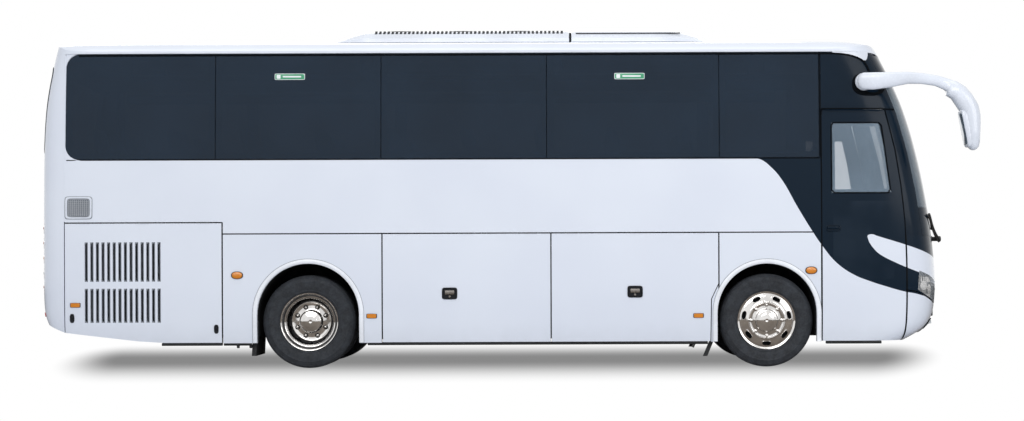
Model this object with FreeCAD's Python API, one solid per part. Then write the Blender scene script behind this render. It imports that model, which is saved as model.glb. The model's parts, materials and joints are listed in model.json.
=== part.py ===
import FreeCAD, Part
import math
import os

from FreeCAD import Vector

# A two-axle touring coach with twin rear wheels. +X is forward, +Y is to the left, +Z is up.
# The origin is on the ground, in the middle of the overall length. All sizes are in millimetres.

# Driving dimensions
wheelbase = 4700
rear_overhang = 2800
front_reach = 2190
half_width = 1240
roof_height = 3415
skirt_height = 264
waist_height = 1383
glass_bottom = 2148
floor_height = 1300
cab_floor_height = 1000
tyre_diameter = 958
tyre_width = 276
rim_radius = 285
front_track_half = 1035
twin_outer_half = 1022
twin_spacing = 311

# Thicknesses and clearances
wall = 45
floor_thickness = 40
glass_thickness = 6
windscreen_thickness = 8
seam = 10
seat_gap = 0.3
running_gap = 8
plate = 15

# Places that follow from the driving dimensions
roof_line = roof_height - 178
rear_end = -(rear_overhang + wheelbase + front_reach) / 2
rear_axle_x = rear_end + rear_overhang
front_axle_x = rear_axle_x + wheelbase
tyre_radius = tyre_diameter / 2
axle_z = tyre_radius
inner_half = half_width - wall

# Panel seams along the side, from the axle that each one goes with
rear_seam_x = rear_axle_x - 2494
flap_front_x = rear_axle_x - 877
bay_rear_x = rear_axle_x + 759
bay_middle_x = rear_axle_x + 2488
bay_front_x = front_axle_x - 493
door_rear_x = front_axle_x + 561
pane_seams = [rear_axle_x - 2485, rear_axle_x - 949, rear_axle_x + 749, rear_axle_x + 2447,
              front_axle_x - 483, front_axle_x + 540]
arch_centre_z = axle_z + 75
front_arch_radius = 508
rear_arch_radius = 522
arch_lip = 50
lip_height = 10

parts_folder = "parts"


def box(x0, x1, y0, y1, z0, z1):
    corner = Vector(min(x0, x1), min(y0, y1), min(z0, z1))
    return Part.makeBox(abs(x1 - x0), abs(y1 - y0), abs(z1 - z0), corner)


def axle_cylinder(x, z, radius, y0, y1):
    return Part.makeCylinder(radius, abs(y1 - y0), Vector(x, min(y0, y1), z), Vector(0, 1, 0))


def post(x, y, radius, z0, z1):
    return Part.makeCylinder(radius, z1 - z0, Vector(x, y, z0))


def side_prism(outline, y0, y1):
    """The outline is in X and Z, and runs from y0 to y1."""
    points = [Vector(x, y0, z) for x, z in outline]
    return Part.Face(Part.makePolygon(points + points[:1])).extrude(Vector(0, y1 - y0, 0))


def end_prism(outline, x0, x1):
    """The outline is in Y and Z, and runs from x0 to x1."""
    points = [Vector(x0, y, z) for y, z in outline]
    return Part.Face(Part.makePolygon(points + points[:1])).extrude(Vector(x1 - x0, 0, 0))


def plan_prism(outline, z0, z1):
    """The outline is in X and Y, and runs from z0 to z1."""
    points = [Vector(x, y, z0) for x, y in outline]
    return Part.Face(Part.makePolygon(points + points[:1])).extrude(Vector(0, 0, z1 - z0))


def rounded_plate(x0, x1, z0, z1, radius, y0, y1):
    """A plate in the plane of the side, with round corners."""
    plain = box(x0, x1, y0, y1, z0, z1)
    upright = [e for e in plain.Edges if abs(e.Vertexes[0].Y - e.Vertexes[1].Y) > 1]
    return plain.makeFillet(radius, upright)


def fuse(first, *others):
    return first.fuse(list(others)).removeSplitter()


def cut(shape, *tools):
    return shape.cut(list(tools))


def mirrored(shape):
    """The same shape on the other side of the coach."""
    return shape.mirror(Vector(0, 0, 0), Vector(0, 1, 0))


def both(shape):
    return [shape, mirrored(shape)]


def export(name, *shapes):
    solids = []
    for shape in shapes:
        solids += shape.Solids
    good = [s for s in solids if s.Volume > 1000]
    result = good[0] if len(good) == 1 else Part.makeCompound(good)
    result.exportStep(os.path.join(parts_folder, name + ".step"))
    return result


# The body is one smooth form. Each row gives a height, how far the nose stands ahead of the
# front axle, how far the tail stands ahead of the rear end, and how far the side is tucked in.
body_rows = [
    (skirt_height - 64, 1440, 240, 20),
    (300, 1645, 165, 12),
    (380, 1785, 85, 5),
    (520, 1867, 15, 0),
    (700, 1890, 0, 0),
    (900, 1895, 0, 0),
    (1150, 1878, 0, 0),
    (1450, 1847, 0, 0),
    (1800, 1790, 0, 6),
    (2200, 1710, 0, 19),
    (roof_line - 637, 1600, 11, 37),
    (roof_line - 337, 1485, 45, 53),
    (roof_line - 7, 1320, 110, 72),
    (roof_line + 363, 1120, 205, 94),
]
roof_side_droop = [(0, 0), (400, 4), (700, 16), (950, 45), (1070, 75), (1150, 130),
                   (1200, 190), (1300, 330)]
roof_rear_droop = [(-105, 260), (-5, 190), (55, 120), (145, 60), (345, 18), (845, 0), (2345, 0)]
roof_front_droop = [(-3155, 0), (-1155, 0), (345, 0), (795, 12), (995, 48), (1145, 95),
                    (1245, 150), (1305, 200), (1395, 280), (1545, 420), (1750, 640), (2000, 900)]
straight_poles = 4


def body_row(nose, tail, width):
    """The poles of one level outline of the body, once round."""
    side_start = tail + 475
    side_end = nose - 725
    step = (side_end - side_start) / (straight_poles + 1)
    half = [(tail, 0), (tail, 0.3 * width), (tail + 18, width - 430), (tail + 45, width),
            (side_start, width)]
    half += [(side_start + step * i, width) for i in range(1, straight_poles + 1)]
    half += [(side_end, width), (nose - 205, width), (nose - 70, width - 520),
             (nose - 15, 0.3 * width), (nose + 3, 0)]
    return half + [(x, -y) for x, y in reversed(half[1:-1])]


def uniform_knots(count):
    return [4] + [1] * (count - 4) + [4], list(range(count - 2))


def roof_block(inset):
    """Everything below the roof's crowned surface."""
    across = [(-y, d) for y, d in reversed(roof_side_droop[1:])] + roof_side_droop
    along = [(rear_end + x, d) for x, d in roof_rear_droop]
    along += [(front_axle_x + x, d) for x, d in roof_front_droop]
    poles = []
    for x, end_droop in along:
        poles.append([Vector(x, y, roof_height - inset - math.hypot(end_droop, droop))
                      for y, droop in across])
    u_mults, u_knots = uniform_knots(len(along))
    v_mults, v_knots = uniform_knots(len(across))
    surface = Part.BSplineSurface()
    surface.buildFromPolesMultsKnots(poles, u_mults, v_mults, u_knots, v_knots,
                                     False, False, 3, 3)
    return surface.toShape().extrude(Vector(0, 0, -roof_height))


def envelope(inset):
    """The whole body as one solid, each face moved inwards by the inset."""
    rows = []
    for z, nose, tail, tuck in body_rows:
        outline = body_row(front_axle_x + nose - inset, rear_end + tail + inset,
                           half_width - tuck - inset)
        rows.append([Vector(x, y, z) for x, y in outline])
    around = len(rows[0])
    poles = [[row[i] for row in rows] for i in range(around)]
    v_mults, v_knots = uniform_knots(len(rows))
    surface = Part.BSplineSurface()
    surface.buildFromPolesMultsKnots(poles, [1] * (around + 1), v_mults,
                                     list(range(around + 1)), v_knots, True, False, 3, 3)
    face = surface.toShape()
    rims = [Part.Wire([edge]) for edge in face.Edges if edge.isClosed()]
    shell = Part.makeShell([face] + [Part.Face(rim) for rim in rims])
    shell.sewShape()
    solid = Part.makeSolid(shell)
    solid.fix(0.01, 0.01, 0.01)
    return solid.common(roof_block(inset))


outer = envelope(0)
inner = envelope(wall)
skin = outer.cut(inner)
pane_layer = outer.cut(envelope(glass_thickness))
pane_bed = envelope(glass_thickness + seat_gap)
screen_layer = outer.cut(envelope(windscreen_thickness))
screen_bed = envelope(windscreen_thickness + seat_gap)
cabin_space = envelope(wall + seat_gap)
door_space = envelope(wall + running_gap)
lip_layer = envelope(-lip_height).cut(outer)

far_y = half_width + 60
low_z = skirt_height - 30
half_seam = seam / 2
barrel_radius = half_seam - seat_gap
barrel_length = 130


def nose_x(z):
    """How far forward the body reaches at a height."""
    for (z0, n0, _, _), (z1, n1, _, _) in zip(body_rows, body_rows[1:]):
        if z0 <= z <= z1:
            return front_axle_x + n0 + (n1 - n0) * (z - z0) / (z1 - z0)
    return front_axle_x + body_rows[-1][1]


def on_right(outline):
    return side_prism(outline, -far_y, -half_width + 700)


def right_skin(outline):
    return skin.common(on_right(outline))


def arch_outline(x, radius):
    """A wheel opening: round on top, straight down from its middle."""
    return axle_cylinder(x, arch_centre_z, radius, -far_y, far_y).fuse(
        box(x - radius, x + radius, -far_y, far_y, 0, arch_centre_z))


# Lower edge of the side, from the rear corner forwards. It rises behind the rear axle.
skirt_line = [(rear_end - 50, skirt_height + 232), (rear_end + 45, skirt_height + 216),
              (rear_end + 321, skirt_height + 105), (rear_end + 741, skirt_height + 55),
              (rear_end + 1054, skirt_height + 18), (rear_end + 1329, skirt_height),
              (front_axle_x + 2100, skirt_height)]


def skirt_cutter():
    below = skirt_line + [(skirt_line[-1][0], -200), (skirt_line[0][0], -200)]
    return side_prism(below, -far_y, far_y)


below_skirt = skirt_cutter()

# Front edge of the doors, from the top down, ahead of the front axle.
door_top_z = 2645
door_front_points = [(1222, 2642), (1323, 2225), (1379, 1867), (1416, 1502), (1423, 1354),
                     (1434, 1002), (1434, 650), (1423, 380), (1405, 283)]


def door_front_line(offset):
    return [(front_axle_x + x + offset, z) for x, z in door_front_points]


def door_outline(gap):
    """The outline of a full-height front door, smaller by the gap all round."""
    line = door_front_line(-gap)
    top = (line[0][0] - 1, door_top_z - gap)
    bottom_z = skirt_height + gap
    return [(door_rear_x + gap, bottom_z), (door_rear_x + gap, door_top_z - gap), top] + \
        line[1:-1] + [(line[-1][0], bottom_z)]


# Side walls
flap_top_z = 1500


def flap_outline(gap):
    """The engine side flap, between the rear corner and the panel behind the rear wheels."""
    rear = rear_seam_x + gap
    front = flap_front_x - gap
    lower = [(x, z + gap) for x, z in skirt_line if rear < x < front]
    start_z = skirt_height + 105 + gap
    return [(rear, flap_top_z - gap), (rear, start_z)] + lower + \
        [(front, skirt_height + gap), (front, flap_top_z - gap)]


def bay_outline(number, gap):
    """One of the two luggage doors. The front one narrows below, beside the wheel arch."""
    bottom = skirt_height + gap
    top = waist_height - gap
    if number == 0:
        return [(bay_rear_x + gap, bottom), (bay_middle_x - gap, bottom),
                (bay_middle_x - gap, top), (bay_rear_x + gap, top)]
    return [(bay_middle_x + gap, bottom), (bay_front_x - 84 - gap, bottom),
            (bay_front_x - 77 - gap, 700), (bay_front_x - gap, 864), (bay_front_x - gap, top),
            (bay_middle_x + gap, top)]


def band_outline(x0, x1, z0, z1):
    return [(x0, z0), (x1, z0), (x1, z1), (x0, z1)]


pane_top = roof_line - 2
window_frame = 62
corner_radius = 145


def round_rear(block, radius):
    """The block with its two rear corners rounded, as seen from the side."""
    rear = block.BoundBox.XMin + 1
    rounded = [e for e in block.Edges if abs(e.Vertexes[0].Y - e.Vertexes[1].Y) > 1
               and e.Vertexes[0].X < rear]
    return block.makeFillet(radius, rounded)


def pane_region(number, gap):
    """One pane of the glass band, as a block through the right-hand wall."""
    plain = box(pane_seams[number] + gap, pane_seams[number + 1] - gap, -far_y, -900,
                glass_bottom + gap, pane_top - gap)
    return plain if number > 0 else round_rear(plain, corner_radius - gap)


def side_wall():
    outline = [(rear_seam_x + half_seam, low_z), (door_rear_x - half_seam, low_z),
               (door_rear_x - half_seam, roof_line - seat_gap),
               (rear_seam_x + half_seam, roof_line - seat_gap)]
    wall_shape = right_skin(outline)
    openings = [below_skirt, on_right(flap_outline(-half_seam)),
                on_right(bay_outline(0, -half_seam)), on_right(bay_outline(1, -half_seam)),
                arch_outline(front_axle_x, front_arch_radius),
                arch_outline(rear_axle_x, rear_arch_radius)]
    band = round_rear(box(pane_seams[0] - 2, pane_seams[-1] + 40, -far_y, -900,
                          glass_bottom - 2, roof_line + 5), corner_radius + 2)
    openings.append(band.cut(pane_bed))
    for number in range(len(pane_seams) - 1):
        x0 = pane_seams[number] + window_frame
        x1 = pane_seams[number + 1] - window_frame
        openings.append(rounded_plate(x0, x1, glass_bottom + window_frame,
                                      pane_top - window_frame, 60, -far_y, -900))
    return cut(wall_shape, *openings)


def side_panes():
    return [pane_layer.common(pane_region(number, 4)) for number in range(len(pane_seams) - 1)]


def arch_trims():
    """The raised white lips round the two wheel openings of the right-hand side."""
    shapes = []
    for x, radius in ((front_axle_x, front_arch_radius), (rear_axle_x, rear_arch_radius)):
        ring = arch_outline(x, radius + arch_lip).cut([arch_outline(x, radius), below_skirt])
        shapes.append(lip_layer.common(ring.common(box(x - 700, x + 700, -far_y, -900,
                                                       0, arch_centre_z + 700))))
    return shapes


# Ends of the body
bumper_top_points = [(1545, 769), (1683, 698), (1790, 635), (2100, 600)]
screen_bottom = 1345
screen_top = roof_line - 22


def screen_edge_line(offset):
    """Where the windscreen ends at the side, from the bottom up."""
    heights = [screen_bottom, 1800, 2200, roof_line - 637, roof_line - 337, roof_line - 7]
    return [(nose_x(z) - 250 + offset, z) for z in heights]


def screen_region(gap):
    line = screen_edge_line(gap)
    line[0] = (line[0][0], screen_bottom + gap)
    line[-1] = (line[-1][0], screen_top - gap)
    front = front_axle_x + 2100
    return side_prism(line + [(front, screen_top - gap), (front, screen_bottom + gap)],
                      -far_y, far_y)


def windscreen():
    return screen_layer.common(screen_region(2))


screen_pocket = screen_region(0).cut(screen_bed)


pillar_joint_z = door_top_z + 30


def gloss_panels():
    """The black panel above each door, with the pillar down to the front panel."""
    pillar_inner = [(x, z) for x, z in screen_edge_line(48)]
    pillar_inner[0] = (pillar_inner[0][0], screen_bottom + seat_gap)
    pillar_inner[-1] = (pillar_inner[-1][0], roof_line - seat_gap)
    front_line = [(x, z) for x, z in door_front_line(half_seam) if z > screen_bottom + 10]
    last_x = front_line[-1][0] + 1
    front_line[0] = (front_line[0][0], door_top_z + half_seam)
    outline = [(door_rear_x, door_top_z + half_seam)] + front_line
    outline += [(last_x, screen_bottom + seat_gap)] + pillar_inner
    outline += [(door_rear_x, roof_line - seat_gap)]
    joint = box(door_rear_x - 10, front_axle_x + 2100, -far_y, far_y, pillar_joint_z,
                pillar_joint_z + seat_gap)
    return cut(right_skin(outline), screen_pocket, joint)


def bumper_line(offset):
    return [(front_axle_x + x, z + offset) for x, z in bumper_top_points]


def lamp_outline(gap):
    """A wrap-round headlamp, seen from the side."""
    x = front_axle_x
    return [(x + 1553 + gap, 790 + gap), (x + 1683, 712 + gap), (x + 1790, 650 + gap),
            (x + 2000, 620 + gap), (x + 2000, 880 - gap), (x + 1795, 868 - gap),
            (x + 1695, 935 - gap), (x + 1568 + gap, 985 - gap)]


lamp_inner_half = 700


def lamp_block(gap):
    return side_prism(lamp_outline(gap), -far_y, -lamp_inner_half - gap)


def front_panel():
    """Between the bumper and the windscreen."""
    seam_line = [(x, z) for x, z in door_front_line(half_seam) if 700 < z < screen_bottom]
    seam_top = (front_axle_x + 1424 + half_seam, screen_bottom)
    seam_bottom = (front_axle_x + 1434 + half_seam, 790)
    front = front_axle_x + 2100
    outline = [seam_bottom] + list(reversed(seam_line)) + [seam_top]
    upstand_x = nose_x(screen_bottom) - 250 + 50
    outline += [(upstand_x, screen_bottom), (upstand_x, screen_bottom + 45),
                (front, screen_bottom + 45)]
    outline += list(reversed(bumper_line(half_seam)))
    shape = skin.common(side_prism(outline, -far_y, far_y))
    return cut(shape, screen_pocket, lamp_block(-seat_gap), mirrored(lamp_block(-seat_gap)))


def front_bumper():
    seam_line = [(x, z) for x, z in door_front_line(half_seam) if z < 700]
    seam_top = (front_axle_x + 1434 + half_seam, 780)
    front = front_axle_x + 2100
    outline = [seam_top] + bumper_line(-half_seam) + [(front, low_z)]
    outline += [(seam_line[-1][0], low_z)] + list(reversed(seam_line))
    shape = skin.common(side_prism(outline, -far_y, far_y))
    return cut(shape, below_skirt, lamp_block(-seat_gap), mirrored(lamp_block(-seat_gap)))


def headlamp():
    return skin.common(lamp_block(0))


rear_glass_bottom = 2230
rear_glass_top = 3120
rear_glass_half = 1060
hatch_bottom = 640
hatch_top = 1700
hatch_half = 900
tail_lamp_inner = 930
tail_lamp_outer = 1080
tail_lamp_bottom = 760
tail_lamp_top = 1560


def rear_block(half, z0, z1, radius):
    """A block with round corners through the tail."""
    plain = box(rear_end - 60, rear_end + 500, -half, half, z0, z1)
    upright = [e for e in plain.Edges if abs(e.Vertexes[0].X - e.Vertexes[1].X) > 1]
    return plain.makeFillet(radius, upright)


def tail_lamp_block(gap):
    return box(rear_end - 60, rear_end + 150, -tail_lamp_outer + gap, -tail_lamp_inner - gap,
               tail_lamp_bottom + gap, tail_lamp_top - gap)


def rear_panel():
    outline = band_outline(rear_end - 60, rear_seam_x - half_seam, low_z, roof_line - seat_gap)
    shape = skin.common(side_prism(outline, -far_y, far_y))
    glass = rear_block(rear_glass_half + 2, rear_glass_bottom - 2, rear_glass_top + 2, 92)
    opening = rear_block(rear_glass_half - 55, rear_glass_bottom + 55, rear_glass_top - 55, 60)
    hatch = rear_block(hatch_half + half_seam, hatch_bottom - half_seam,
                       hatch_top + half_seam, 45)
    return cut(shape, below_skirt, glass.cut(pane_bed), opening, hatch,
               tail_lamp_block(-seat_gap), mirrored(tail_lamp_block(-seat_gap)))


def rear_window():
    return pane_layer.common(rear_block(rear_glass_half, rear_glass_bottom, rear_glass_top, 90))


def engine_hatch():
    hatch = skin.common(rear_block(hatch_half - half_seam, hatch_bottom + half_seam,
                                   hatch_top - half_seam, 35))
    shapes = []
    for y in (-220, 220 - barrel_length):
        shapes.append(Part.makeCylinder(barrel_radius, barrel_length,
                                        Vector(rear_end, y, hatch_top), Vector(0, 1, 0)))
        shapes.append(box(rear_end, rear_end + 6, y, y + barrel_length, hatch_top - 12,
                          hatch_top))
    return fuse(hatch, *shapes)


def tail_lamp():
    return skin.common(tail_lamp_block(0))


def roof_shell():
    region = box(rear_end - 60, front_axle_x + 2100, -far_y, far_y, roof_line, roof_height + 60)
    header = box(front_axle_x + 900, front_axle_x + 2100, -far_y, far_y,
                 screen_top - 45, roof_line + 1)
    header = header.common(screen_region(0).fuse(
        box(front_axle_x + 1000, front_axle_x + 2100, -900, 900, screen_top - 45, roof_line + 1)))
    pillar_edge = screen_edge_line(49)[-2:]
    pillar_edge[-1] = (pillar_edge[-1][0], roof_line)
    pillars = side_prism([(door_rear_x, roof_line), (door_rear_x, pillar_edge[0][1])]
                         + pillar_edge, -far_y, far_y)
    shape = skin.common(region.fuse(header.cut(pillars)))
    return cut(shape, screen_pocket)


# The louvred engine flap
louvre_pitch = 57.3
louvre_width = 33
louvre_count = 14
louvre_rows = [(898, 1302), (478, 827)]
louvre_start = rear_axle_x - 2285


def louvres():
    slots = []
    for z0, z1 in louvre_rows:
        for i in range(louvre_count):
            x = louvre_start + louvre_pitch * i
            slots.append(box(x, x + louvre_width, -far_y, -900, z0, z1))
    return slots


def engine_flap():
    flap = cut(right_skin(flap_outline(half_seam)), *louvres())
    return fuse(flap, *flap_hinges(rear_seam_x, flap_front_x, flap_top_z))


def luggage_door(number):
    door = right_skin(bay_outline(number, half_seam))
    x0, x1 = ((bay_rear_x, bay_middle_x), (bay_middle_x, bay_front_x))[number]
    return fuse(door, *flap_hinges(x0, x1, waist_height))


# Hinge barrels, which lie in the seams, on the line of the outer skin


def flap_hinges(x0, x1, z):
    """Three barrels along the top of a side flap, with the leaf that joins them to it."""
    shapes = []
    for place in (0.12, 0.5, 0.88):
        x = x0 + (x1 - x0) * place - barrel_length / 2
        shapes.append(Part.makeCylinder(barrel_radius, barrel_length,
                                        Vector(x, -half_width, z), Vector(1, 0, 0)))
        shapes.append(box(x, x + barrel_length, -half_width, -half_width + 4, z - 12, z))
    return shapes


# Front doors
door_glass = [(665, 1783), (665, 2504), (1153, 2502), (1215, 2200), (1277, 1789)]
door_glass_lap = 35


def inset_outline(points, gap):
    """The outline moved inwards, corner by corner, towards its middle."""
    mid_x = sum(x for x, _ in points) / len(points)
    mid_z = sum(z for _, z in points) / len(points)
    moved = []
    for x, z in points:
        step_x = gap if x < mid_x else -gap
        step_z = 0
        if abs(z - mid_z) > 200:
            step_z = gap if z < mid_z else -gap
        moved.append((x + step_x, z + step_z))
    return moved


def door_glass_outline(gap):
    return inset_outline([(front_axle_x + x, z) for x, z in door_glass], gap)


def front_door():
    shape = right_skin(door_outline(half_seam))
    return cut(shape, on_right(door_glass_outline(-2)).cut(pane_bed),
               on_right(door_glass_outline(door_glass_lap)))


door_hinge_x = front_axle_x + 1434
door_hinge_heights = [690, 900]


def door_hinge_y():
    """Where the outer skin lies at the front seam of the door."""
    ray = Part.makeLine(Vector(door_hinge_x, -far_y, 830), Vector(door_hinge_x, 0, 830))
    return min(v.Y for v in outer.common(ray).Vertexes)


def driver_door():
    shapes = [front_door()]
    y = door_hinge_y()
    for z in door_hinge_heights:
        shapes.append(post(door_hinge_x, y, barrel_radius, z, z + 80))
        shapes.append(box(door_hinge_x - 12, door_hinge_x, y, y + 4, z, z + 80))
    return fuse(*shapes)


def front_door_glass():
    return pane_layer.common(on_right(door_glass_outline(0)))


# Floors and bulkheads
deck_front_x = front_axle_x + 545


def floor_deck():
    """The passenger floor, the step down to the driver and the stairwell at the left door."""
    deck = box(rear_end + 40, deck_front_x, -half_width, half_width,
               floor_height - floor_thickness, floor_height)
    bulkhead = box(deck_front_x - 20, deck_front_x, -half_width, half_width,
                   skirt_height + 60, floor_height)
    platform = box(deck_front_x - 20, front_axle_x + 1800, -half_width, stair_side_y,
                   cab_floor_height - floor_thickness, cab_floor_height)
    stair_wall = box(deck_front_x - 20, front_axle_x + 1800, stair_side_y - 20, stair_side_y,
                     skirt_height + 60, cab_floor_height)
    low_step = box(deck_front_x - 20, front_axle_x + 1600, stair_side_y - 20, half_width,
                   skirt_height + 60, skirt_height + 60 + floor_thickness)
    mid_step = box(deck_front_x - 20, deck_front_x + 260, stair_side_y - 20, half_width - 150,
                   low_step.BoundBox.ZMax - 1, 680)
    rail_slots = [box(deck_front_x - 40, deck_front_x + 10, side * (rail_inner - seat_gap),
                      side * (rail_outer + seat_gap), rail_bottom - seat_gap,
                      rail_top + seat_gap) for side in (-1, 1)]
    passenger_part = cut(fuse(deck, bulkhead).common(cabin_space), *rail_slots)
    cab_part = fuse(platform, stair_wall, low_step, mid_step).common(door_space)
    return fuse(passenger_part, cab_part)


stair_side_y = 450
bay_inner_y = 450
bay_floor_z = skirt_height + 36


def luggage_bay():
    """One trough below the floor: its floor, its inner wall and its two ends."""
    x0 = bay_rear_x - 10
    x1 = bay_front_x - 105
    top = floor_height - floor_thickness - seat_gap
    outer_y = -(inner_half - 3 * running_gap)
    block = box(x0, x1, -bay_inner_y, outer_y, bay_floor_z, top)
    hollow = box(x0 + plate, x1 - plate, -bay_inner_y - plate, outer_y - 100,
                 bay_floor_z + plate, top + 10)
    return block.cut(hollow)


def wheel_housing(x, radius, inner_y):
    """The round housing above one wheel, open below and to the side."""
    low = skirt_height + 60
    shell = axle_cylinder(x, arch_centre_z, radius + plate, -half_width, -inner_y)
    shell = shell.fuse(box(x - radius - plate, x + radius + plate, -half_width, -inner_y,
                           low, arch_centre_z))
    shell = shell.common(box(x - 2 * radius, x + 2 * radius, -half_width, -inner_y,
                             low, arch_centre_z + 2 * radius))
    hollow = axle_cylinder(x, arch_centre_z, radius, -half_width - 1, -inner_y - plate)
    hollow = hollow.fuse(box(x - radius, x + radius, -half_width - 1, -inner_y - plate,
                             0, arch_centre_z))
    axle_slot = box(x - 240, x + 160, -inner_y - plate - 1, -inner_y + 1, 0, axle_z + 130)
    return shell.cut([hollow, axle_slot]).common(cabin_space)


front_housing_y = 575
rear_housing_y = 540

# Ladder frame
rail_inner = 350
rail_outer = 430
rail_bottom = 680
rail_top = 880
cross_pitch = 900


def chassis_frame():
    rear_x = rear_end + 250
    front_x = front_axle_x + 1500
    rails = [box(rear_x, front_x, -rail_outer, -rail_inner, rail_bottom, rail_top),
             box(rear_x, front_x, rail_inner, rail_outer, rail_bottom, rail_top)]
    top = floor_height - floor_thickness - seat_gap
    crosses = []
    for x in (rear_axle_x - 650, rear_axle_x + 700, bay_middle_x, front_axle_x - 650):
        crosses.append(box(x - 30, x + 30, -rail_inner - 1, rail_inner + 1,
                           rail_bottom + 40, rail_top - 20))
        for y in (-rail_outer, rail_inner):
            crosses.append(box(x - 30, x + 30, y, y + rail_outer - rail_inner,
                               rail_top - 1, top))
    crosses.append(box(rear_x, rear_x + 60, -rail_inner - 1, rail_inner + 1,
                       rail_bottom, rail_top))
    crosses.append(box(front_x - 60, front_x, -rail_inner - 1, rail_inner + 1,
                       rail_bottom, rail_top))
    tow = []
    for x in (rear_x + 30, front_x - 30):
        lug = box(x - 45, x + 45, -60, 60, rail_bottom - tow_lug_drop, rail_bottom + 20)
        tow.append(lug)
    pads = []
    for x in jack_places:
        for y in (-rail_middle, rail_middle):
            pads.append(box(x - jack_pad_length / 2, x + jack_pad_length / 2,
                            y - jack_pad_width / 2, y + jack_pad_width / 2,
                            rail_bottom - jack_pad_height, rail_bottom + 1))
    frame = fuse(rails[0], rails[1], *crosses, *tow, *pads)
    bores = [post(x, 0, tow_bore_radius, rail_bottom - tow_lug_drop - 10, rail_bottom + 30)
             for x in (rear_x + 30, front_x - 30)]
    return cut(frame, *bores)


tow_lug_drop = 60
tow_bore_radius = 21
rail_middle = (rail_inner + rail_outer) / 2
jack_places = [front_axle_x - 755, rear_axle_x + 1545]
jack_pad_length = 120
jack_pad_width = 70
jack_pad_height = 15

# Wheels
bead_radius = rim_radius
rim_half = 105
rim_thickness = 15
disc_thickness = 14
dish_radius = 200
front_disc_out = 88
front_hub_out = 175
rear_hub_length = 190
drum_radius = 150
hand_holes = 7
hand_hole_reach = 225
hand_hole_radius = 30
hub_radius = 112
spindle_radius = 40
rear_spindle_radius = 60


def turned(profile, x, y, z):
    """A profile of distance from the axle line and place along it, turned once round."""
    points = [Vector(x + r, y + v, z) for r, v in profile]
    face = Part.Face(Part.makePolygon(points + points[:1]))
    return face.revolve(Vector(x, y, z), Vector(0, 1, 0), 360)


def tyre(x, y):
    """A plain tyre: flat tread, round shoulders and bulged walls."""
    w = tyre_width / 2
    r0 = bead_radius + seat_gap
    r1 = tyre_radius
    points = [(r0, -w + 30), (r0 + 40, -w + 8), (r1 - 85, -w), (r1 - 25, -w + 16),
              (r1 - 4, -w + 36), (r1, -w + 60), (r1, w - 60), (r1 - 4, w - 36),
              (r1 - 25, w - 16), (r1 - 85, w), (r0 + 40, w - 8), (r0, w - 30)]
    return turned(points, x, y, axle_z)


def rim(x, y):
    inner = bead_radius - rim_thickness
    return turned([(inner, -rim_half), (bead_radius, -rim_half), (bead_radius, rim_half),
                   (inner, rim_half)], x, y, axle_z)


def front_wheel():
    """The right front wheel, its disc near the outer face, with its hub."""
    y = -front_track_half
    disc_y = y - front_disc_out
    disc = axle_cylinder(front_axle_x, axle_z, bead_radius - rim_thickness + 1,
                         disc_y - disc_thickness / 2, disc_y + disc_thickness / 2)
    hub = axle_cylinder(front_axle_x, axle_z, hub_radius, disc_y, y - front_hub_out)
    drum = axle_cylinder(front_axle_x, axle_z, drum_radius, y - 62, disc_y)
    bore = axle_cylinder(front_axle_x, axle_z, spindle_radius + seat_gap, y, y - 150)
    holes = []
    for i in range(hand_holes):
        turn = math.radians(90 + 360 / hand_holes * i)
        holes.append(axle_cylinder(front_axle_x + hand_hole_reach * math.cos(turn),
                                   axle_z + hand_hole_reach * math.sin(turn),
                                   hand_hole_radius, y - 60, y - 120))
    return cut(fuse(rim(front_axle_x, y), disc, hub, drum), bore, *holes)


def rear_wheel():
    """The right-hand twin wheels, two rims whose discs meet, with their hub."""
    outer_y = -twin_outer_half
    inner_y = outer_y + twin_spacing
    mid_y = (outer_y + inner_y) / 2
    ring_a = rim(rear_axle_x, outer_y)
    ring_b = rim(rear_axle_x, inner_y)
    disc_a = axle_cylinder(rear_axle_x, axle_z, dish_radius, mid_y - disc_thickness, mid_y)
    disc_b = axle_cylinder(rear_axle_x, axle_z, dish_radius, mid_y + disc_thickness, mid_y)
    cone_a = dish(rear_axle_x, mid_y - disc_thickness, outer_y + rim_half - 25)
    cone_b = dish(rear_axle_x, mid_y + disc_thickness, inner_y - rim_half + 25)
    hub = axle_cylinder(rear_axle_x, axle_z, hub_radius, mid_y, mid_y - rear_hub_length)
    bore = axle_cylinder(rear_axle_x, axle_z, rear_spindle_radius + seat_gap,
                         mid_y + 60, mid_y - 120)
    return cut(fuse(ring_a, ring_b, disc_a, disc_b, cone_a, cone_b, hub), bore)


def dish(x, y0, y1):
    """The cone that joins a twin wheel's disc to its rim."""
    inner = dish_radius - disc_thickness
    outer = bead_radius - disc_thickness
    points = [Vector(x + inner, y0, axle_z), Vector(x + dish_radius, y0, axle_z),
              Vector(x + outer, y1, axle_z), Vector(x + outer - disc_thickness, y1, axle_z)]
    face = Part.Face(Part.makePolygon(points + points[:1]))
    return face.revolve(Vector(x, y0, axle_z), Vector(0, 1, 0), 360)


# Axles and steering
pin_radius = 24
arm_back = 115
rod_z = axle_z - 114
eye_half = 58
eye_pin_radius = 11


def front_axle():
    beam = box(front_axle_x - 45, front_axle_x + 45, -front_track_half + 70,
               front_track_half - 70, axle_z - 50, axle_z + 50)
    shapes = []
    for side in (-1, 1):
        y = side * front_track_half
        shapes.append(post(front_axle_x, y, 46, axle_z - eye_half, axle_z + eye_half))
        shapes.append(box(front_axle_x - 30, front_axle_x + 30, y, y - side * 110,
                          axle_z - 46, axle_z + 46))
        shapes.append(box(front_axle_x - 80, front_axle_x + 80, side * 330, side * 450,
                          axle_z + 49, axle_z + 64))
    whole = fuse(beam, *shapes)
    pins = [post(front_axle_x, side * front_track_half, pin_radius + seat_gap, 200, 800)
            for side in (-1, 1)]
    return cut(whole, *pins)


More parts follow.
